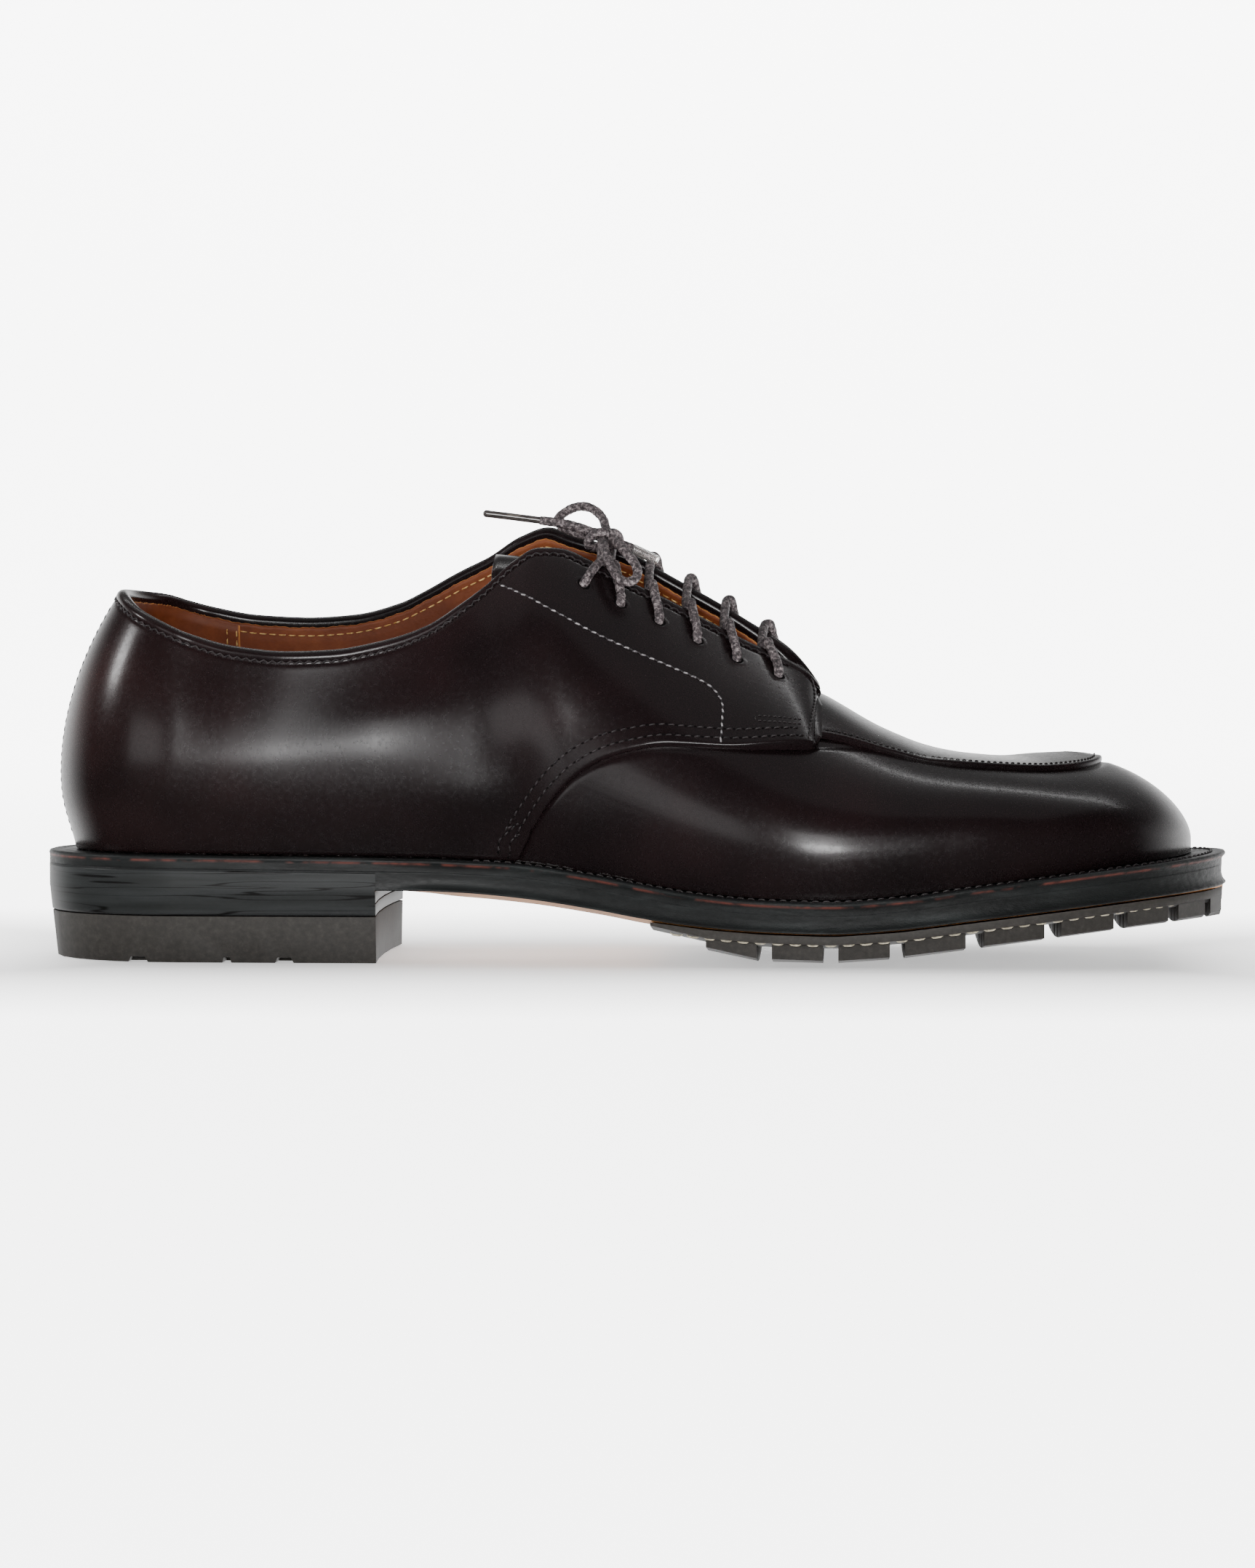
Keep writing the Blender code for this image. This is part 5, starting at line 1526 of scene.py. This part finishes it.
def add_light(name, place, target, size, power):
    """A white rectangular softbox aimed at a target."""
    light = bpy.data.lights.new(name, "AREA")
    light.shape = "RECTANGLE"
    light.size, light.size_y = size
    light.energy = power
    lamp = bpy.data.objects.new(name, light)
    lamp.location = place
    lamp.rotation_euler = (Vector(target) - Vector(place)).to_track_quat("-Z", "Y").to_euler()
    bpy.context.scene.collection.objects.link(lamp)


lights = (
    # name, place, target, width and height, watts
    ("overhead_softbox", (0.0, -0.05, 1.6), (0.0, 0.0, 0.0), (2.6, 1.8), 5.0),
    ("front_core", (-0.03, -1.55, 0.27), (0.0, 0.0, 0.05), (0.36, 0.18), 8.6),
    ("front_wide", (-0.04, -1.60, 0.46), (0.0, 0.0, 0.05), (0.46, 0.52), 6.0),
    ("waist_glow", (-0.95, -1.35, 0.38), (0.0, 0.0, 0.04), (0.70, 0.50), 2.3),
    ("left_spot", (-1.1, -0.25, 0.62), (-0.12, 0.0, 0.07), (0.22, 0.16), 3.6),
    ("backdrop_light", (0.0, 1.0, 1.6), (0.0, 2.6, 0.4), (2.6, 0.8), 90.0),
)
for light in lights:
    add_light(*light)

world = bpy.data.worlds.new("studio")
bpy.context.scene.world = world
world.use_nodes = True
sky = world.node_tree
direction = add_node(sky, "TexCoord").outputs["Generated"]
way_parts = add_node(sky, "SeparateXYZ", {"Vector": direction}).outputs
behind = ramp_value(sky, way_parts["Y"], 0.003, 2.2, 0.05, 0.6)
low_sky = ramp_value(sky, way_parts["Z"], 1.0, 0.08, 0.10, 0.45)
glow = add_node(sky, "Math", {0: behind, 1: low_sky}, operation="MULTIPLY").outputs["Value"]
sky.nodes["Background"].inputs["Color"].default_value = (1.0, 1.0, 1.0, 1.0)
sky.links.new(glow, sky.nodes["Background"].inputs["Strength"])


def build_floor():
    """A pale floor that sweeps up behind the shoe and glows, its glow dimmed round the shoe's footprint as a
    painted contact shadow.
    """
    sweep = [(y, 0.0) for y in np.linspace(-6.0, 1.7, 16)]
    for a in np.linspace(0, math.pi / 2, 16)[1:]:
        sweep.append((1.7 + 1.0 * math.sin(a), 1.0 - math.cos(a)))
    sweep.append((2.7, 1.25))
    x = np.linspace(-6.0, 6.0, 13)
    points = np.array([[(a, y - CENTRE_Y, z) for y, z in sweep] for a in x])
    material, tree, shader, place = new_look("studio_floor_painted_shadow")
    parts = add_node(tree, "SeparateXYZ", {"Vector": place}).outputs
    painted_shadow_reach = []
    for axis, half in (("X", SHOE_LENGTH / 2), ("Y", BALL_WIDTH / 2)):
        size = add_node(tree, "Math", {0: parts[axis]}, operation="ABSOLUTE").outputs["Value"]
        painted_shadow_reach.append(add_node(tree, "Math", {0: size, 1: half}, operation="SUBTRACT").outputs["Value"])
    painted_shadow_reach = add_node(tree, "Math", {0: painted_shadow_reach[0], 1: painted_shadow_reach[1]}, operation="MAXIMUM").outputs["Value"]
    # Painted contact shadow: the glow drops from 5 to 0.6 towards the shoe's footprint.
    shine = ramp_value(tree, painted_shadow_reach, 0.6, 5.0, -0.02, 0.12)
    set_inputs(
        tree,
        shader,
        {
            "Base Color": (0.90, 0.895, 0.89, 1.0),
            "Roughness": 0.6,
            "Specular IOR Level": 0.2,
            "Emission Color": (1.0, 1.0, 1.0, 1.0),
            "Emission Strength": shine,
        },
    )
    n, m = points.shape[:2]
    mesh = bpy.data.meshes.new("floor")
    mesh.from_pydata((points.reshape(-1, 3) + (0, CENTRE_Y, -0.0002)).tolist(), [], grid_faces(n, m).tolist())
    mesh.polygons.foreach_set("use_smooth", [True] * len(mesh.polygons))
    mesh.materials.append(material)
    floor = bpy.data.objects.new("floor", mesh)
    bpy.context.scene.collection.objects.link(floor)
    floor.visible_glossy = False


# Lace


def add_lace(name, route, radius, look, nodes, sides=16):
    """A lace along a route, its face slightly uneven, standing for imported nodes."""
    wave = 1 + 0.035 * np.sin(np.arange(len(route)) * 1.1) + 0.03 * np.sin(np.arange(len(route)) * 0.37 + 2)
    rings = rod(route, radius * wave, sides)
    ends = [np.repeat(route[i][None, None], sides, axis=1) for i in (0, -1)]
    rings = np.concatenate([ends[0], rings, ends[1]])
    piece = add_grid(name, rings, look, "lace_cotton", wrap=True)
    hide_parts(*nodes)
    return piece


def dipped(side, x, lean):
    """The lace's end at an eyelet, carried on down through it."""
    far = np.array([EYELET_SETBACK, EYELET_SETBACK])
    return facing_route(x, side, far, np.array([0.0, -WALL - 0.004]), lean)


def through_eyelets(x, lean, middle, count):
    """A lace's smooth run over both facings, with both ends down through their eyelets."""
    over = bar_route(x, lean, middle)[1:-1]
    return smooth_route([*dipped(-1, x, lean)[::-1], *over, *dipped(1, x, lean)], count)


def tip_sleeve(name, route, radius, look):
    """A lace tip: a smooth sleeve along a route with a rounded nose."""
    thick = np.full(len(route), radius)
    thick[-3:] = radius * np.array([0.95, 0.75, 0.35])
    rings = rod(route, thick, 20)
    ends = [np.repeat(route[i][None, None], 20, axis=1) for i in (0, -1)]
    return add_grid(name, np.concatenate([ends[0], rings, ends[1]]), look, "lace_cotton", wrap=True)


def knot_wraps(knot, look):
    """The knot's two turns: tilted rings of lace drawn tight round the strands."""
    band = [(-3.4, -1.6, -2.3), (-3.4, -3.0, -0.9), (-2.0, -4.0, 0.7), (0.0, -4.4, 1.3), (2.1, -3.9, 0.9)]
    band += [(3.1, -2.4, -0.7), (2.7, -0.6, -1.8), (0.4, 1.2, -1.7), (-2.2, 0.6, -2.6), (-3.4, -1.6, -2.3)]
    turn = [(1.2, -2.0, 0.6), (3.0, -1.6, 1.2), (4.3, -0.6, 0.2), (4.2, 0.8, -1.4)]
    turn += [(2.6, 1.6, -1.8), (0.6, 1.4, -0.6)]
    parts = []
    for way in (smooth_route(band, 90), smooth_route(turn, 60)):
        rings = rod(knot + way / 1000, LACE_DIAMETER * 0.55, 16)
        parts.append((rings.reshape(-1, 3), grid_faces(len(way), 16, wrap=True)))
    return add_mesh("knot_wraps", *joined(parts), look, "lace_cotton")


def build_laces(look, clear, film):
    """Five bars over the tongue, the top strands with their knot, and the bow in two cords."""
    places = eyelet_places()
    for i, x in enumerate(places[1:]):
        bar = through_eyelets(x, CLIMB_LEAN, (), 150)
        add_lace(f"bar_{i + 1}", bar, LACE_RADIUS, look, [f"lace_bar_{i + 1}"])
    knot = np.array(KNOT_PLACE)
    wide = KNOT_DIAMETER / 2
    middle = [knot + (0, -wide, 0), knot, knot + (0, wide, 0)]
    top = through_eyelets(places[0], TOP_LEAN, middle, 170)
    far = [(1.4, 1.2, 1.4), *LOOP_FAR, (-1.6, 2.2, 0.5), (0.6, 1.2, -0.1), (2.4, 0.8, -0.7), *END_FRONT]
    near = [(0.8, -0.6, 0.9), *LOOP_NEAR, (1.2, -2.4, 0.2), (-1.2, -1.2, 1.2), *END_BACK]
    far = eased(smooth_route(knot + np.array(far) / 1000, 220), 4)
    near = eased(smooth_route(knot + np.array(near) / 1000, 320), 4)
    clear_tip = tip_sleeve("clear_tip", far[-32:], LACE_DIAMETER * 0.6, clear)
    dark_tip = tip_sleeve("dark_tip", near[-58:], LACE_DIAMETER * 0.43, film)
    wraps = knot_wraps(knot, look)
    for name, route, nodes, end, tips in (
        ("top_strands", top, ["lace_knot"], "object", [wraps]),
        ("bow_far", far[:-3], ["lace_loop_far", "lace_end_front"], "fitting", [clear_tip]),
        ("bow_near", near[:-56], ["lace_loop_near", "lace_end_back"], "fitting", [dark_tip]),
    ):
        piece = add_lace(name, route, LACE_RADIUS, look, nodes)


# Stitching

# Rows read from the side, x and height in millimetres
FACING_ROW = (
    (-33.0, 95.6), (-24.8, 92.5), (-9.2, 84.3), (7.7, 76.6), (19.1, 71.6), (23.3, 68.8), (25.4, 65.3),
    (25.1, 60.4), (24.3, 55.6),
)
FRONT_ROW = ((41.0, 74.6), (43.4, 72.6), (45.2, 69.0), (46.0, 65.1), (45.8, 61.6), (45.4, 57.7), (45.2, 55.4))
TACK_ROWS = (
    ((33.6, 61.8), (38.5, 61.1), (44.0, 60.2)),
    ((33.6, 60.6), (38.5, 59.9), (44.0, 59.1)),
    ((33.5, 61.8), (33.1, 61.2), (33.5, 60.6)),
)

sewn = {"dark": [], "grey": [], "tan": [], "rim": [], "hole": []}


def sew(kind, line, pitch, length, radius, slant=0.0, shift=0.5, holes=0.0):
    """Adds one row of stitches, and the painted shade of its needle holes if they have a radius."""
    route, normal = line
    sewn[kind].append(stitch_row(route, normal, pitch, length, radius, 0.0, slant, shift))
    if holes:
        sewn["hole"].append(needle_hole_shades(route, normal, pitch, holes, shift - 0.5))


def side_row(side, row):
    """A row of x and height in millimetres as points and normals on the quarter."""
    row = np.array([(x, 0.0, z) for x, z in row]) * 1e-3
    fine = smooth_route(row, int(np.linalg.norm(np.diff(row, axis=0), axis=1).sum() / 0.0006) + 4)
    arc = arc_of_height(side, fine[:, 0], fine[:, 2])[0]
    return on_panel(side, np.stack([fine[:, 0], arc], axis=1))


def rim_row(side, p, distance, lift):
    """A row a distance below the collar or facing edge, from places p."""
    vamp = np.zeros(len(p), bool)
    rows = section(p, side, vamp)
    length = row_length(rows)
    points, normal = outside(p, side, vamp, (1 - distance / length)[:, None])
    return (points + normal * lift[:, None, None])[:, 0], normal[:, 0]


def braid(line, pitch, length, radius, slant):
    """Two crossing threads, each stitch laid over the gap of the other."""
    sew("dark", line, pitch, length, radius, slant, 0.5)
    sew("dark", line, pitch, length, radius, -slant, 0.0, 0.00030)


def sew_quarter(side):
    """All the rows of one quarter: two along its foot, the facing row, rim, front edge and tack."""
    edge = quarter_line(side, 260)
    for distance, end in ((TOP_STITCH, THROAT_X - 0.0022), (SECOND_ROW, THROAT_X - 0.0030)):
        line = shifted(edge, distance)
        line = even(line[(line[:, 0] < end) & (line[:, 1] > 0.0008)], 0.0006)
        sew("dark", on_panel(side, line), 0.0024, 0.0017, 0.00023, 0.0002, 0.5, 0.00030)
    # Painted highlight: the grey row crossing the dark one is partly the cord's grey and partly painted
    # glints on its twists.
    facing = side_row(side, FACING_ROW)
    sew("grey", facing, 0.0023, 0.0017, 0.00025, 0.0003, 0.5, 0.00026)
    sew("dark", facing, 0.0023, 0.0019, 0.00022, -0.0003, 0.0)
    p = from_heel(0.004, 120, THROAT_X - 0.0070, 300)
    x = plan_place(p)[0]
    route, normal = rim_row(side, p, 0.0027, quarter_lift(x))
    braid((route, normal), 0.0023, 0.0021, 0.00024, 0.0011)
    braid(side_row(side, FRONT_ROW), 0.0019, 0.0016, 0.00022, 0.0006)
    for row in TACK_ROWS:
        sew("dark", side_row(side, row), 0.0012, 0.0011, 0.00017)


def sew_apron(side):
    """Small close stitches along the apron's edge, round to the toe."""
    p = to_toe(THROAT_X + 0.0024, 90, 90)
    line, length = apron_line(side, p)
    points, normal = outside(p, side, np.ones(len(p), bool), (line + 0.0021 / length)[:, None])
    route = eased_joins(points, plan_place(p)[0])[:, 0] + normal[:, 0] * OVERLAY * 1.08
    sew("dark", (route, normal[:, 0]), 0.0016, 0.0011, 0.00018, 0.0, 0.5, 0.00020)


def sew_lining(side):
    """The pale row under the lining's raw edge, and the side seam with its two rows."""
    p = from_heel(0.004, 90, THROAT_X - 0.004, 250)
    route, normal = rim_row(side, p, 0.0040, np.full(len(p), -WALL - LINING_GAP))
    sew("tan", (route, -normal), 0.0026, 0.0019, 0.00020, 0.0, 0.5)
    for x in (-0.1098, -0.1073):
        arc = arc_of_height(side, [x], [0.1])[1][0]
        up = np.linspace(arc - 0.0035, arc - 0.030, 60)
        line = np.stack([np.full(60, x), up], axis=1)
        route, normal = on_panel(side, line, False, np.full(60, -WALL - HEEL_PIECE_GAP))
        sew("tan", (route, -normal), 0.0024, 0.0018, 0.00019)


def lining_patch(side, look):
    """The lining's heel piece where it laps over the side piece, 0.5 mm proud."""
    p = from_heel(0, 50, -0.1065, 16)
    p = np.append(p, p[-1] + 1e-5)
    vamp = np.zeros(len(p), bool)
    rows = section(p, side, vamp)
    length = row_length(rows)
    share = 0.1 + ((1 - 0.0024 / length) - 0.1)[:, None] * np.linspace(0, 1, 50)
    points, normal = outside(p, side, vamp, share)
    gap = np.full(points.shape[:2], WALL + HEEL_PIECE_GAP)
    gap[-1] = WALL + 0.0005
    gap[:, -1] = WALL + 0.0005
    raw = np.zeros(points.shape[:2])
    raw[-2:] = 0.9
    name = "lining_heel_outer" if side < 0 else "lining_heel_inner"
    points = points - normal * gap[..., None]
    add_grid(name, points, look, "tan_leather", flip=side > 0, attribute=raw)


def sew_sole(side):
    """Dark stitches in the welt's groove, and pale ones under the half sole's rim."""
    p = to_toe(-0.040, 300, 150)
    route = edge_point(p, side, 0.0036, lambda x: welt_z(x) + 0.00005)
    up = np.tile([0.0, 0.0, 1.0], (len(p), 1))
    sew("dark", (route, up), 0.0027, 0.0021, 0.00030, 0.0, 0.5, 0.00032)
    p = to_toe(0.010, 200, 150, 0.975)
    plan = inset_edge(p, side, np.full(len(p), 0.0026))
    z = bottom_z(plan[:, 0]) - camber_drop(p, 0.955) - 2 * CLEARANCE - RUBBER_THICKNESS
    route = np.concatenate([plan, z[:, None]], axis=1)
    down = np.tile([0.0, 0.0, -1.0], (len(p), 1))
    sewn["rim"].append(stitch_row(route + (0.0, 0.0, 0.00012), down, 0.0044, 0.0033, 0.00030))


def sew_back(side):
    """Two rows either side of the seam up the back of the heel."""
    share = np.linspace(0.06, 0.93, 90)[None, :]
    for p in (0.014, 0.030):
        points, normal = outside(np.array([p]), side, np.array([False]), share)
        route = points[0] + normal[0] * (OVERLAY - 0.00008)
        sew("dark", (route, normal[0]), 0.0022, 0.0016, 0.00016, 0.0, 0.5, 0.0002)


def build_stitches(looks):
    """Every row of a kind as one mesh."""
    for side in (-1, 1):
        sew_quarter(side)
        sew_apron(side)
        sew_lining(side)
        sew_sole(side)
        sew_back(side)
    for kind, slot in (
        ("dark", "burgundy_leather"),
        ("grey", "burgundy_leather"),
        ("tan", "tan_leather"),
        ("rim", "sole_leather"),
        ("hole", "burgundy_leather"),
    ):
        name = "needle_hole_shades" if kind == "hole" else f"stitches_{kind}"
        add_mesh(name, *joined(sewn[kind]), looks[kind], slot)


def build_eyelets(leather, dark):
    """Punched holes: a dark disc of painted hole shade in a shallow dent with a soft raised rim, laid on the
    facing.
    """
    turn = np.linspace(0, 2 * math.pi, 24, endpoint=False)
    rim = ((2.9, -0.03), (2.4, 0.03), (2.05, 0.07), (1.8, 0.08), (1.6, 0.05), (1.5, 0.0))
    hole = ((1.66, 0.045), (0.9, 0.05), (0.02, 0.05))
    for name, profile, look in (("eyelet_rims", rim, leather), ("eyelet_holes", hole, dark)):
        parts = []
        for side in (-1, 1):
            for x in eyelet_places():
                rings = []
                for radius, lift in profile:
                    at = x + radius * 1e-3 * np.cos(turn)
                    length = arc_of_height(side, at, np.full(24, 0.1))[1]
                    arc = length - EYELET_SETBACK + radius * 1e-3 * np.sin(turn)
                    face = quarter_lift(at) + lift * 1e-3
                    rings.append(on_panel(side, np.stack([at, arc], axis=1), False, face)[0])
                parts.append((np.array(rings).reshape(-1, 3), grid_faces(len(rings), 24, side < 0, True)))
        add_mesh(name, *joined(parts), look, "burgundy_leather")


def build_wax(look):
    """The lumpy bead of wax in the joint over the heel's welt, thinning out at the waist."""
    for side in (-1, 1):
        p = from_heel(0, 80, 0.0, 260)
        route = upper_foot(p, side) + (0.0, 0.0, 0.0003)
        k = np.arange(len(p))
        lump = 1 + 0.30 * np.sin(k * 0.63) + 0.24 * np.sin(k * 1.37 + side) + 0.2 * np.sin(k * 0.21 + 2)
        radius = 0.00062 * np.clip(lump, 0.3, None) * (1 - 0.75 * ramp(plan_place(p)[0], -0.06, 0.0))
        name = "wax_outer" if side < 0 else "wax_inner"
        add_grid(name, rod(route, radius, 10), look, "sole_leather", wrap=True)


def build_heel_wall(look):
    """The trimmed and waxed wall of the heel's leather, one face over all its layers.

    It leans in by the heel's taper from the welt down to the rubber, with its ends turned inwards.
    """
    p = from_heel(0, 70, BREAST_X, 50)
    share = np.linspace(0, 1, 22)
    loops = []
    for side, places in ((-1, p[::-1]), (1, p[1:])):
        top = welt_z(plan_place(places)[0]) - WELT_THICKNESS - 0.0004
        rows = []
        for a in (0.0, *share, 1.0):
            z = top * (1 - a) + (TOP_PIECE_HEIGHT + 0.0001) * a
            inset = LIP * 0.4 + HEEL_TAPER * np.clip(1 - z / HEEL_HEIGHT, 0, None) - 0.00006
            inset = inset + (0.0004 if len(rows) in (0, 23) else 0.0)
            rows.append(np.concatenate([inset_edge(places, side, inset), z[:, None]], axis=1))
        loops.append(np.stack(rows, axis=1))
    add_grid("heel_wall", np.concatenate(loops), look, "sole_leather", flip=True)


def finer_copy(name, node, look, width):
    """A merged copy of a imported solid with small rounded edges, standing in for it."""
    work = bmesh.new()
    work.from_mesh(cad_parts[node].data)
    bmesh.ops.remove_doubles(work, verts=work.verts, dist=1e-6)
    bmesh.ops.dissolve_limit(work, angle_limit=math.radians(0.8), verts=work.verts, edges=work.edges)
    mesh = bpy.data.meshes.new(name)
    work.to_mesh(mesh)
    work.free()
    mesh.polygons.foreach_set("use_smooth", [True] * len(mesh.polygons))
    mesh.materials.append(look)
    piece = bpy.data.objects.new(name, mesh)
    bpy.context.scene.collection.objects.link(piece)
    bevel = piece.modifiers.new("edge", "BEVEL")
    bevel.width = width
    bevel.segments = 2
    bevel.limit_method = "ANGLE"
    bevel.angle_limit = math.radians(32)
    bevel.harden_normals = True
    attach(piece, "root")
    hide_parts(node)


# Assembly

leather = polished_leather()
tan = tan_leather()
edge_black = sole_edge_look()
stack = lift_look()
rubber = rubber_look()
natural = natural_leather()
cotton = lace_look()
thread_dark = thread_look("dark_thread", "#131011", "#2c2627")
# The grey thread is lightened with painted glints, for the facing row.
thread_grey_glint = thread_look("grey_thread_painted_glint", "#3f3b3e", "#8c888a")
thread_tan = thread_look("tan_thread", "#a5763a", "#dcb878")
thread_pale = thread_look("pale_thread", "#7f7867", "#b9b09a")

painted_hole_shade = hole_shade_look()
wax = wax_look()

for side in (-1, 1):
    quarter = build_quarter(side, leather)
    build_vamp(side, leather)
    build_lining(side, tan)
    lining_patch(side, tan)
    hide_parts("upper")
build_apron(leather)
build_tongue(leather)
build_welt(edge_black)
build_midsole(edge_black, natural)
finer_copy("upper_lift", "heel_lift_upper", stack, 0.00008)
finer_copy("lower_lift", "heel_lift_lower", stack, 0.00008)
finer_copy("top_piece", "heel_rubber", rubber, 0.00025)
finer_copy("half_sole", "tread", rubber, 0.00030)
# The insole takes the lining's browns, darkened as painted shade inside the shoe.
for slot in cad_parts["insole"].material_slots:
    slot.material = tan
threads = {"dark": thread_dark, "grey": thread_grey_glint, "tan": thread_tan, "rim": thread_pale}
build_stitches({**threads, "hole": painted_hole_shade})
build_eyelets(leather, painted_hole_shade)
build_wax(wax)
build_heel_wall(stack)
build_floor()
build_laces(cotton, clear_tip_look(), dark_tip_look())
